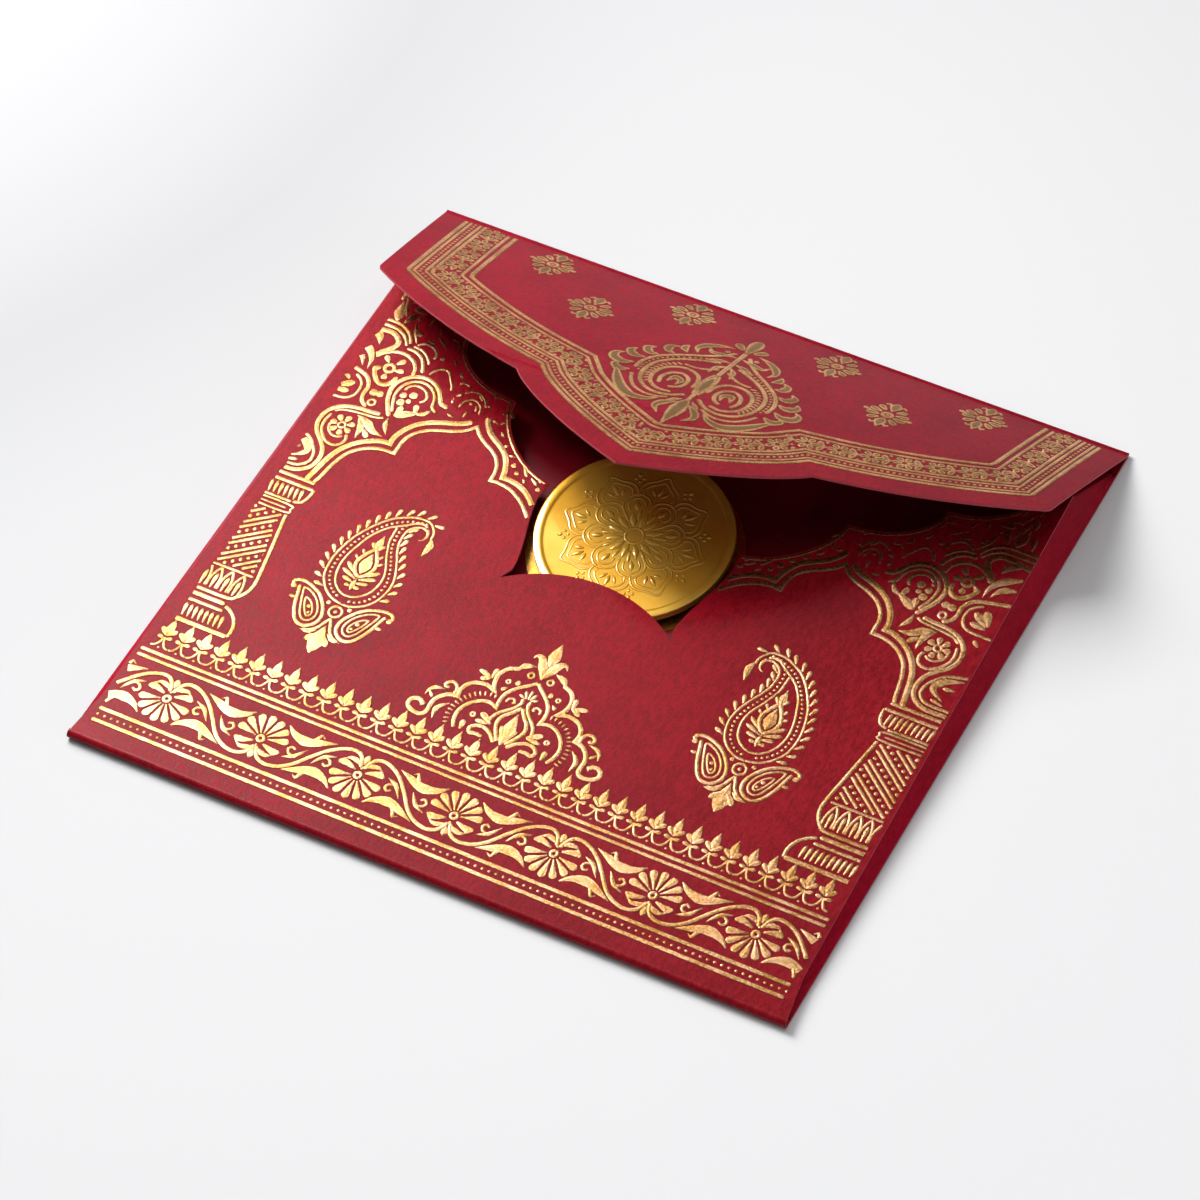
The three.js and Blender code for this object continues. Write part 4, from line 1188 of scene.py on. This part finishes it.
@dataclass
class FlapArt:
    """Foil on the flap: a border of lines, beads and flowers, the great ornament and six sprigs."""

    tip_x: float = 60.3
    tip_v: float = 28.2
    cusp_x: float = 26.3
    cusp_v: float = 44.1
    point_v: float = 60.8
    start_v: float = 0.78
    rules: tuple[tuple[float, float], ...] = (  # distance in from the cut edge, and width
        (4.4, 0.55), (5.3, 0.4), (7.0, 0.42), (7.9, 0.5), (12.4, 0.45), (13.7, 0.62))

    def outline(self) -> np.ndarray:
        """Points along the right half of the flap's cut edge, from the crease to its point."""
        def cubic(*ends: Sequence[float]) -> np.ndarray:
            """Points along one curved side, from its two ends and the two points that pull it."""
            t = np.linspace(0, 1, 31)[:, None]
            p = [np.array(k, float) for k in ends]
            return p[0] * (1 - t) ** 3 + 3 * p[1] * t * (1 - t) ** 2 + 3 * p[2] * t**2 * (1 - t) + p[3] * t**3

        def across(share: float) -> float:
            """Distance from the centre line between tip and cusp."""
            return self.tip_x + (self.cusp_x - self.tip_x) * share

        def down(share: float) -> float:
            """Depth between tip and cusp."""
            return self.tip_v + (self.cusp_v - self.tip_v) * share

        def deep(share: float) -> float:
            """Depth between cusp and point."""
            return self.cusp_v + (self.point_v - self.cusp_v) * share

        lobe = cubic((self.tip_x, self.tip_v), (across(0.24), down(0.38)), (across(0.6), down(0.79)),
                     (self.cusp_x, self.cusp_v))
        point = cubic((self.cusp_x, self.cusp_v), (self.cusp_x * 0.87, deep(0.28)),
                      (self.cusp_x * 0.51, deep(0.67)), (0, self.point_v))
        side = np.linspace((62.73, -3), (self.tip_x, self.tip_v), 30)
        return np.concatenate((side, lobe[1:], point[1:]))

    def inset(self, distance: float) -> np.ndarray:
        """The cut edge's line moved inwards, over both halves, with its corners kept sharp."""
        half = self.outline()
        whole = np.concatenate((half, half[::-1][1:] * (-1, 1)))
        moved = beside(whole, distance)
        return moved[moved[:, 1] > -1.0]

    def rosette(self) -> Motif:
        """One flower of the border with a curled leaf at each side, along the x axis."""
        return fan(6, 30, 390, 0.35, 1.75, 0.95) + draw(
            (PETAL, 0.85, 2.1, -0.3, 3.1, 1.3), (PETAL, 0.85, 2.1, 0.3, 3.1, -1.3),
            (PETAL, 0.6, 1.6, 0.0, 2.7, 0.0), (DOT, 0.24, 1.9, 1.5), (DOT, 0.24, 1.9, -1.5),
            (PETAL, 0.5, -1.6, 1.5, -2.2, 0.9), (PETAL, 0.5, -1.6, -1.5, -2.2, -0.9),
        )

    def sprig(self) -> Motif:
        """One small diamond of leaves, standing on its lower point."""
        side = draw(
            (PETAL, 1.3, 1.2, 0.5, 3.4, 0.8), (PETAL, 1.2, 1.2, -0.6, 3.4, -1.1),
            (PETAL, 1.1, 0.9, 1.4, 2.5, 2.7),
            (PETAL, 1.1, 0.9, -1.6, 2.4, -2.9), (PETAL, 0.7, 2.9, 0.0, 4.3, -0.15),
            (LINE, 0.36, 0.5, 3.2, 1.2, 4.0, 1.7, 3.5), (LINE, 0.36, 0.5, -3.4, 1.2, -4.2, 1.8, -3.7),
        )
        heart = draw((BUD, 1.9, 0, 1.4, 0, 5.1), (BUD, 2.0, 0, -5.0, 0, -1.6),
                     (RING, 0.5, 0, 0, 0.8), (DOT, 0.3, 0, 0))
        return side.both() + heart

    def ornament(self) -> Motif:
        """The great heart of scrolling leaves in the middle of the flap."""
        half = draw(
            (LEAF, 2.3, 4.0, 37.6, 5.6, 39.3, 7.9, 39.9, 9.9, 38.9, 11.8, 36.7, 13.2, 34.3, 14.4, 32.0),
            (LINE, 0.5, 3.0, 36.5, 4.6, 37.5, 6.6, 37.8, 8.8, 36.9, 10.3, 35.0, 11.2, 32.8),
            (LEAF, 1.7, 12.0, 32.0, 13.6, 32.9, 14.8, 31.8, 14.2, 30.7),
            (LEAF, 2.0, 12.6, 29.2, 14.2, 30.3, 16.0, 29.7, 16.3, 28.1, 15.3, 27.0),
            (LEAF, 1.8, 12.0, 26.4, 13.6, 26.9, 14.9, 25.8, 14.4, 24.2),
            (LEAF, 1.7, 10.8, 23.8, 12.2, 24.2, 13.2, 22.9, 12.2, 21.5),
            (LEAF, 1.6, 9.0, 21.6, 10.2, 21.4, 10.6, 19.8, 9.4, 18.6),
            (LEAF, 1.4, 7.6, 19.8, 8.6, 18.6, 8.4, 17.0),
            (LEAF, 1.5, 6.3, 18.6, 7.0, 16.8, 6.0, 14.8, 4.2, 13.4, 2.2, 12.6),
            (PETAL, 1.5, 0.9, 12.3, 2.8, 10.4),
            (LINE, 0.62, 1.2, 33.8, 3.2, 35.7, 5.8, 36.3, 8.2, 35.2, 9.7, 32.8, 10.2, 29.8, 9.8, 26.8, 8.4,
             24.2, 6.4,
             22.2, 4.0, 20.6, 1.6, 19.4),
            (LINE, 0.62, 3.4, 34.6, 5.6, 34.9, 7.5, 33.6, 8.4, 31.2, 8.2, 28.4, 6.9, 26.2, 4.8, 25.3, 2.6,
             26.2, 1.5,
             28.4, 1.3, 30.8),
            (LINE, 0.6, 6.4, 32.9, 6.9, 30.8, 6.3, 28.6, 4.8, 27.5, 3.3, 28.3, 2.7, 30.2, 3.2, 32.2, 4.6,
             33.2),
            (LEAF, 1.3, 5.6, 31.4, 5.0, 29.4, 3.8, 30.0, 4.0, 31.8),
            (LINE, 0.6, 11.7, 30.6, 11.7, 27.6, 10.7, 24.8, 8.9, 22.4, 6.7, 20.4, 4.5, 18.6, 2.6, 16.6, 1.2,
             14.2),
            (LINE, 0.5, 0.8, 21.8, 2.4, 23.2, 4.2, 24.0, 6.0, 24.0),
            (LEAF, 1.2, 0.6, 15.6, 2.6, 16.2, 4.6, 16.6, 5.4, 15.2),
            (LEAF, 1.1, 0.5, 18.2, 2.2, 18.7, 4.2, 19.8),
            (DOT, 0.45, 2.6, 14.7), (LEAF, 1.4, 0.7, 36.6, 2.7, 38.4, 3.4, 40.4, 2.1, 42.3),
            (LEAF, 0.8, 0.9, 35.4, 2.0, 36.6, 2.9, 37.8),
        )
        for_beads = smooth(np.array((
            (10.9, 31.4), (11.0, 28.4), (10.2, 25.4), (8.6, 23.1), (6.5, 21.3), (4.2, 19.7),
            (2.2, 18.2))), False)
        beads = together(draw((DOT, 0.24, x, v)) for x, v, _ in spaced(for_beads, 0.95))
        inner = smooth(np.array(((6.3, 24.1), (8.3, 26.1), (9.2, 28.8), (9.1, 31.6), (8.0, 33.9))), False)
        ticks = together(draw((PETAL, 0.4, 0, -0.55, 0, 0.55)).moved(x, v, turn + 25) for x, v, turn in
                         spaced(inner, 0.95))
        middle = draw(
            (BUD, 2.6, 0, 34.8, 0, 45.2), (BUD, 2.0, 0, 31.6, 0, 24.2), (LINE, 0.7, 0, 13, 0, 24),
            (PETAL, 2.3, 0, 12.8, 0, 7.1), (LINE, 0.6, 0, 31, 0, 36), (PETAL, 0.8, 0, 22.6, 0, 19.4),
        )
        stems = draw(
            (LEAF, 0.9, 0.2, 19.8, 1.5, 21.4, 1.9, 23.8),
            (LINE, 0.4, 0.4, 24.0, 0.9, 26.4, 0.9, 29.4, 0.4, 32.6),
        )
        return (half + beads + ticks + stems).both() + middle

    def motif(self) -> Motif:
        """All of the flap's artwork."""
        lines = Motif(tuple(stroke(LINE, width, corner_points(self.inset(distance)), 0.7)
                            for distance, width in self.rules))
        beads = together(draw((DOT, 0.27, x, v)) for x, v, _ in spaced(self.inset(6.15), 0.98, 0.3))
        flowers = together(self.rosette().moved(x, v, turn, 1.12)
                           for x, v, turn in spaced(self.inset(10.1), 5.15, 0.6))
        sprigs = together(self.sprig().moved(x, v) for x, v in
                          ((39.3, 5.9), (-39.3, 5.9), (13.2, 5.9), (-13.2, 5.9), (26.9, 16.6), (-26.9, 16.6)))
        return (lines + beads + flowers + sprigs + self.ornament()).kept(lambda p: p[:, 1] > self.start_v)


def corner_points(path: np.ndarray) -> np.ndarray:
    """A dense path with each sharp corner given twice, so that a smooth curve keeps it."""
    sharp = np.flatnonzero(turn_of(path) > 0.3) + 1
    return np.insert(path, sharp, path[sharp], axis=0)


@dataclass(frozen=True)
class WalletFinish:
    """The materials of the envelope's body."""

    plain: bpy.types.Material
    back: bpy.types.Material
    front: bpy.types.Material
    wall: bpy.types.Material
    paper: bpy.types.Material
    disc: bpy.types.Material
    foil: bpy.types.Material


@dataclass
class Wallet:
    """The envelope's body: panels, folds, side walls, lining and the foil on the front."""

    width: float = 125.0
    panel_start: float = 1.1
    inset_low: float = 1.3
    inset_high: float = 2.7
    flare: float = 9.0
    wall_start: float = 2.0
    wall_end: float = 118.0
    wall_card: float = 0.34
    glue_flap: float = 5.4

    def panel_edge(self, v: float) -> float:
        """Distance of the front panel's side edge from the centre line."""
        share = min(1.0, max(0.0, (v - self.flare) / (MOUTH_V - self.flare)))
        return self.width / 2 - self.inset_low - (self.inset_high - self.inset_low) * share

    def build_fold(self) -> bpy.types.Object:
        """The card turned back along the bottom edge, from panel to panel."""
        section = []
        for radius, turns in ((FOLD_RADIUS, range(13)), (FOLD_RADIUS - CARD, range(12, -1, -1))):
            arc = [-math.pi / 2 - i / 12 * (math.pi - PANEL_TILT) for i in turns]
            ring = [(FOLD_RADIUS + radius * math.cos(a), FOLD_RADIUS + radius * math.sin(a)) for a in arc]
            reach = self.panel_start - FOLD_RADIUS
            y, z = ring[-1] if turns[0] == 0 else ring[0]
            end = (y + reach * math.cos(PANEL_TILT), z + reach * math.sin(PANEL_TILT))
            section += ring + [end] if turns[0] == 0 else [end] + ring
        half = self.width / 2
        stations = (-half, -half + 0.12, 0.0, half - 0.12, half)
        rings = [np.array([(x, y - HALF_LENGTH, z) for y, z in section]) for x in stations]
        return loft("bottom_fold_card", rings)

    def build_wall(self, side: float) -> bpy.types.Object:
        """The side wall: card that rounds over from the front panel's edge down to the back panel.

        Args:
            side: 1 for the right wall and -1 for the left.

        Returns:
            The wall.
        """
        rings = []
        half = self.width / 2
        for v in np.concatenate((np.linspace(self.wall_start, MOUTH_V, 24), [109, 112, 115, self.wall_end])):
            if v <= MOUTH_V:
                edge = self.panel_edge(v)
                top = 1.2 + (v - FOLD_RADIUS) * math.sin(PANEL_TILT) + CARD * math.cos(PANEL_TILT) - 0.02
            else:
                share = (v - MOUTH_V) / (self.wall_end - MOUTH_V)
                edge = self.panel_edge(MOUTH_V) * (1 - share) + (half - self.wall_card) * share
                top = 5.3 * (1 - share) ** 0.9 + 0.9 * share
            start = min(1.0, (v - self.wall_start) / 3)
            ring = [
                (edge - self.glue_flap, top - 0.42), (edge - self.glue_flap, top - 0.72),
                (edge - 0.5, top - 0.72),
                (edge - 0.4, top - 1.0), (half - self.wall_card - 0.1, 0.42), (half - 0.15, 0.41),
                (half + 0.02 * start, 0.55), (edge + 0.02, top - 0.9), (edge - 0.14, top - 0.6),
                (edge - 0.3, top - 0.45), (edge - 0.5, top - 0.4),
            ]
            y = FOLD_RADIUS + (v - FOLD_RADIUS) * math.cos(PANEL_TILT) - HALF_LENGTH
            rings.append(np.array([(side * x, y, z) for x, z in ring]))
        return loft("right_wall" if side > 0 else "left_wall", rings)

    def dress(self, finish: WalletFinish) -> None:
        """Gives the CAD panels their finishes, and the two outer ones soft cut edges."""
        for node, material in (("back_panel", finish.back), ("front_panel", finish.front),
                               ("lining", finish.paper), ("coin_seat", finish.disc)):
            dress(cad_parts[node], material)
        soften(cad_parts["back_panel"])
        soften(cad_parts["front_panel"])

    def build(self, finish: WalletFinish) -> None:
        """Builds and dresses the whole wallet."""
        self.dress(finish)
        fold = self.build_fold()
        dress(fold, finish.plain)
        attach(fold, "wallet")
        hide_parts("bottom_fold")
        report(fold)
        for side, node in ((1.0, "right_gusset"), (-1.0, "left_gusset")):
            wall = self.build_wall(side)
            dress(wall, finish.wall)
            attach(wall, "wallet")
            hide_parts(node)
            report(wall)
        arch = MouthArch()
        groups = {
            "border_foil": BottomBorder().motif(),
            "medallion_foil": Medallion().motif(),
            "paisley_foil": Paisley().motif().both(),
            "pillar_foil": Pillar().motif().both().kept(on_panel),
            "arch_foil": arch.motif().both().kept(arch.clear_of_coin),
            "spandrel_foil": Spandrel(arch).motif().both().kept(on_panel),
        }
        relief, face = Relief(), FrontFace()
        for name, motif in groups.items():
            piece = relief.mesh(name, motif, face)
            dress(piece, finish.foil)
            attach(piece, "wallet")
            report(piece)


@dataclass
class Lid:
    """The flap with its crease and its foil."""

    half: float = 62.5
    back_end: float = 60.3
    root: float = 0.75

    def build_crease(self) -> bpy.types.Object:
        """The card that bends from the back panel round into the flap."""
        c, s = math.cos(FLAP_LIFT), math.sin(FLAP_LIFT)
        root = (CREASE_Y - self.root * c, CREASE_Z + self.root * s)
        line = smooth(np.array((
            (self.back_end, 0.2), (60.8, 0.2), (61.1, 0.215), (61.32, 0.32), (61.38, 0.5), (61.24, 0.66),
            (60.98, 0.66), (60.7, 0.68), root)), False)[::2]
        side = mitre(line, False) * CARD / 2
        side[0], side[-1] = (0, CARD / 2), (-s * CARD / 2, -c * CARD / 2)
        ring = np.concatenate((line + side, (line - side)[::-1]))
        rings = [np.array([(x, y, z) for y, z in ring]) for x in (-self.half, 0.0, self.half)]
        return loft("crease_card", rings)

    def build(self, card: bpy.types.Material, foil: bpy.types.Material) -> None:
        """Builds and dresses the flap."""
        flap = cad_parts["flap"]
        dress(flap, card)
        soften(flap)
        crease = self.build_crease()
        dress(crease, card)
        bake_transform(crease)
        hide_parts("flap_fold")
        report(crease)
        art = Relief(skirt=0.2, bold=1.02).mesh("flap_foil", FlapArt().motif(), FlapFace())
        dress(art, foil)
        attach(art, "lid")
        report(art)


@dataclass
class Coin:
    """The gold coin with its raised rim, reeded edge and lotus relief."""

    radius: float = 16.2
    thickness: float = 1.4
    rim: float = 1.5
    field_depth: float = 0.18
    reeds: int = 144
    reed_depth: float = 0.13
    petals: int = 8

    def relief(self) -> Motif:
        """The lotus: a flower, a ring of round petals and eight pointed petals about them."""
        heart = fan(12, 0, 360, 1.75, 4.7, 1.0, LEAF) + fan(12, 15, 375, 3.0, 5.3, 0.5)
        boss = draw((RING, 0.4, 0, 0, 1.5))
        middle_petal = draw(
            (LINE, 0.3, -1.9, 4.6, -2.3, 6.0, -1.7, 7.4, 0, 8.2, 1.7, 7.4, 2.3, 6.0, 1.9, 4.6),
            (LINE, 0.26, -1.1, 5.0, -1.4, 6.0, -1.0, 6.9, 0, 7.4, 1.0, 6.9, 1.4, 6.0, 1.1, 5.0),
            (LEAF, 0.8, 0, 5.0, 0, 6.9),
        )
        outer_petal = draw(
            (LINE, 0.32, -3.0, 7.2, -3.4, 8.6, -2.9, 10.0, -1.5, 11.0, 0, 12.3, 1.5, 11.0, 2.9, 10.0, 3.4,
             8.6, 3.0,
             7.2),
            (LINE, 0.26, -2.2, 7.7, -2.6, 8.7, -2.1, 9.6, -1.1, 10.4, 0, 11.2, 1.1, 10.4, 2.1, 9.6, 2.6,
             8.7, 2.2,
             7.7),
            (LEAF, 0.7, 0, 8.4, 0, 10.6), *pair(LEAF, 0.5, 0.5, 8.2, 1.5, 9.6),
        )
        between = draw((DOT, 0.34, 0, 11.9), *pair(DOT, 0.26, -0.65, 11.2),
                       (DOT, 0.22, 0, 10.6))
        step = 360 / self.petals
        rings = together(
            middle_petal.moved(turn=step * (i + 0.5)) + outer_petal.moved(turn=step * i)
            + between.moved(turn=step * (i + 0.5))
            for i in range(self.petals)
        )
        return heart + boss + rings

    def build_blank(self) -> bpy.types.Object:
        """The coin's body: a reeded edge, rounded rims and a sunk mirror field on both faces."""
        inner = self.radius - self.rim
        edge, field = self.radius, -self.field_depth
        profile = [(0.0, field), (inner - 0.25, field), (inner - 0.05, field + 0.03), (inner + 0.1, -0.05),
                   (inner + 0.35, -0.005), (inner + 0.75, 0.0), (edge - 0.35, -0.01), (edge - 0.14, -0.06),
                   (edge, -0.22)]
        count = self.reeds * 2
        faces = []
        lower = [(r, -self.thickness - z) for r, z in reversed(profile)]
        full = profile + lower
        flat = []
        for r, z in full[1:-1]:
            for i in range(count):
                a = i / count * 2 * math.pi
                reeded = r - (self.reed_depth if i % 2 and r > self.radius - 0.05 else 0.0)
                flat.append((reeded * math.cos(a), reeded * math.sin(a), z))
        flat += [(0.0, 0.0, full[0][1]), (0.0, 0.0, full[-1][1])]
        grid = np.array(flat)
        points = CoinFace(sunk=0.0).place(grid[:, 0], grid[:, 1], grid[:, 2])
        rows = len(full) - 2
        for r in range(rows - 1):
            for i in range(count):
                j = (i + 1) % count
                faces.append((r * count + i, (r + 1) * count + i, (r + 1) * count + j, r * count + j))
        top, bottom = rows * count, rows * count + 1
        for i in range(count):
            j = (i + 1) % count
            faces.append((top, i, j))
            faces.append((bottom, (rows - 1) * count + j, (rows - 1) * count + i))
        mesh = bpy.data.meshes.new("coin_blank")
        mesh.from_pydata(points.tolist(), [], faces)
        outward(mesh)
        piece = bpy.data.objects.new("coin_blank", mesh)
        bpy.context.scene.collection.objects.link(piece)
        mesh.shade_smooth()
        mesh.set_sharp_from_angle(angle=math.radians(30))
        return piece

    def build(self, gold: bpy.types.Material, lines: bpy.types.Material) -> None:
        """Builds and dresses the coin.

        Args:
            gold: Finish of the blank.
            lines: Finish of the raised flower on its front.
        """
        blank = self.build_blank()
        dress(blank, gold)
        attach(blank, "coin")
        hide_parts("coin")
        report(blank)
        raised = Relief(skirt=0.08, sunk=0.03, shoulder=0.1, crown=0.14, bold=1.1)
        art = raised.mesh("coin_lotus", self.relief(), CoinFace())
        art.data.shade_smooth()
        dress(art, lines)
        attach(art, "coin")
        report(art)


def soften(piece: bpy.types.Object, radius: float = 0.00006) -> None:
    """Rounds a CAD sheet's cut edges a little, with modifiers only."""
    piece.modifiers.new("Weld", "WELD").merge_threshold = 1e-6
    bevel = piece.modifiers.new("Edges", "BEVEL")
    bevel.width, bevel.segments = radius, 2
    bevel.limit_method, bevel.angle_limit = "ANGLE", math.radians(50)


def report(piece: bpy.types.Object) -> None:
    """Logs one finished piece."""
    log.info("%s: %d faces", piece.name, len(piece.data.polygons))


# The studio


class Light(Enum):
    """What a lamp does: it sheds light on surfaces or is reflected in them."""

    SHED = auto()
    REFLECTED = auto()


@dataclass(frozen=True)
class Lamp:
    """One soft square lamp; lengths in metres and its power in watts."""

    name: str
    use: Light
    place: tuple[float, float, float]
    size: float
    watts: float
    aim: tuple[float, float, float] = (0.0, 0.0, 0.0)

    def build(self) -> None:
        """Adds the lamp, facing its aim."""
        data = bpy.data.lights.new(self.name, "AREA")
        data.shape, data.size, data.energy = "SQUARE", self.size, self.watts
        lamp = bpy.data.objects.new(self.name, data)
        lamp.visible_diffuse, lamp.visible_glossy = self.use is Light.SHED, self.use is Light.REFLECTED
        lamp.location = self.place
        lamp.rotation_euler = (Vector(self.aim) - Vector(self.place)).to_track_quat("-Z", "Y").to_euler()
        bpy.context.scene.collection.objects.link(lamp)


LAMPS = (
    Lamp("key", Light.SHED, (-0.228, 0.095, 0.24), 0.2, 2.45, (-0.1, -0.03, 0.0)),
    Lamp("glow", Light.REFLECTED, (-0.3, 0.235, 0.49), 0.14, 0.66),
    Lamp("spark", Light.REFLECTED, (-0.21, 0.25, 0.515), 0.035, 0.13),
    Lamp("gleam", Light.REFLECTED, (-0.352, 0.145, 0.48), 0.1, 1.5),
    Lamp("rear", Light.REFLECTED, (-0.23, 0.69, 0.06), 0.35, 0.3),
    Lamp("low", Light.SHED, (0.6, -0.15, 0.1), 0.3, 1.1),
    Lamp("fill", Light.SHED, (0.05, 0.12, 0.9), 0.8, 2.6),
)


@dataclass
class Studio:
    """Pale floor, soft lamps and the camera at the photograph's angle."""

    azimuth: float = 31.61
    elevation: float = 51.25
    roll: float = -4.78
    distance: float = 834.8
    focal_pixels: float = 5286.0
    image_pixels: float = 1200.0
    target: tuple[float, float, float] = (-0.44, -1.22, 0.0)
    floor_size: float = 1.6
    floor_colour: str = "f4f4f5"
    floor_shade: str = "969697"  # nearer the lamp, so that the floor looks even
    lit_spot: tuple[float, float] = (-0.228, 0.085)
    lit_radius: float = 0.14
    lit_span: float = 0.282
    sensor: float = 36.0
    horizon: tuple[float, float, float, float] = (0.22, 0.22, 0.22, 1.0)
    overhead: tuple[float, float, float, float] = (0.16, 0.16, 0.165, 1.0)
    overhead_from: float = 0.75  # share of the way up

    def camera(self) -> None:
        """Adds the camera."""
        a, e, r = (math.radians(k) for k in (self.azimuth, self.elevation, self.roll))
        back = Vector((math.sin(a) * math.cos(e), -math.cos(a) * math.cos(e), math.sin(e)))
        right = (-back).cross(Vector((0, 0, 1))).normalized()
        up = right.cross(-back)
        rolled = right * math.cos(r) + up * math.sin(r)
        upright = up * math.cos(r) - right * math.sin(r)
        data = bpy.data.cameras.new("camera")
        data.sensor_width = self.sensor
        data.lens = self.focal_pixels / self.image_pixels * data.sensor_width
        data.clip_start, data.clip_end = 0.01, 20.0
        camera = bpy.data.objects.new("camera", data)
        camera.matrix_world = Matrix.Translation(
            Vector(self.target) * MM + back * self.distance * MM
        ) @ Matrix((rolled, upright, back)).transposed().to_4x4()
        bpy.context.scene.collection.objects.link(camera)
        bpy.context.scene.camera = camera

    def floor(self) -> None:
        """Adds the pale floor."""
        mesh = bpy.data.meshes.new("floor")
        k = self.floor_size / 2
        mesh.from_pydata([(-k, -k, 0), (k, -k, 0), (k, k, 0), (-k, k, 0)], [], [(0, 1, 2, 3)])
        floor = bpy.data.objects.new("floor", mesh)
        floor.location.z = -0.0001
        bpy.context.scene.collection.objects.link(floor)
        s = Shader("pale_floor")
        place = s.add("ShaderNodeSeparateXYZ", {}, {0: s.add("ShaderNodeTexCoord").outputs["Object"]})
        x, y = (Value(s, place.outputs[k]) for k in ("X", "Y"))
        away = ((x - self.lit_spot[0]) ** 2 + (y - self.lit_spot[1]) ** 2) ** 0.5
        far = s.add("ShaderNodeClamp", {}, {0: (away - self.lit_radius) * (1 / self.lit_span)}).outputs[0]
        colour = s.mix(Value(s, far), paint(self.floor_shade), paint(self.floor_colour))
        dress(floor, s.finish({"Base Color": colour, "Roughness": 0.9, "Specular IOR Level": 0.1}))

    def sky(self) -> None:
        """A plain dim room, a little paler towards the horizon."""
        world = bpy.data.worlds.new("room")
        bpy.context.scene.world = world
        world.use_nodes = True
        tree = world.node_tree
        tree.nodes.clear()
        place = tree.nodes.new("ShaderNodeTexCoord")
        split = tree.nodes.new("ShaderNodeSeparateXYZ")
        ramp = tree.nodes.new("ShaderNodeValToRGB")
        low, high = ramp.color_ramp.elements
        low.position, low.color = 0.0, self.horizon
        high.position, high.color = self.overhead_from, self.overhead
        back = tree.nodes.new("ShaderNodeBackground")
        out = tree.nodes.new("ShaderNodeOutputWorld")
        tree.links.new(place.outputs["Generated"], split.inputs[0])
        tree.links.new(split.outputs["Z"], ramp.inputs[0])
        tree.links.new(ramp.outputs[0], back.inputs[0])
        tree.links.new(back.outputs[0], out.inputs[0])

    def build(self) -> None:
        """Sets up the whole studio."""
        self.camera()
        self.floor()
        self.sky()
        for lamp in LAMPS:
            lamp.build()
        bpy.context.scene.view_settings.view_transform = "Standard"


def main() -> None:
    """Builds every piece in order."""
    logging.basicConfig(level=logging.INFO, format="%(name)s: %(message)s")
    Studio().build()
    tilt_up = (0.0, -math.sin(PANEL_TILT), math.cos(PANEL_TILT))
    lid_up = (0.0, math.sin(FLAP_LIFT), math.cos(FLAP_LIFT))
    Wallet().build(WalletFinish(
        plain=FeltedCard("red_card").material(),
        back=FeltedCard("back_card", facing=(0.0, 0.0, 1.0)).material(),
        front=FeltedCard("front_card", facing=tilt_up, gloss=0.08).material(),
        # painted light: the side walls get a lighter, redder copy of the card's colours than the panels
        wall=FeltedCard("wall_card", light="921026", deep="7e0b1c", gloss=0.03).material(),
        paper=SmoothPaper("lining_paper").material(),
        disc=Foil("disc_foil", bright="ffc860", deep="e8a848", lined=False).material(),
        foil=Foil("gold_foil").material(),
    ))
    # painted shade: the flap and its crease get a darker copy of the card's colours than the panels
    flap = FeltedCard("flap_card_painted_shade", light="7c0d1d", deep="620715", facing=lid_up, gloss=0.06)
    # painted shade and reflection: the flap's foil gets a darker middle over most of each wide shape
    flap_foil = Foil("flap_gold_foil_painted_shade", bright="f0b87a", deep="b87e44", middle="745222", middle_share=0.8)
    Lid().build(flap.material(), flap_foil.material())
    # the coin's raised lines get painted brown shade down their sides
    Coin().build(CoinGold("coin_gold").material(), CoinGold("coin_line_gold", edge="7a4408").material())


if __name__ == "__main__":
    main()
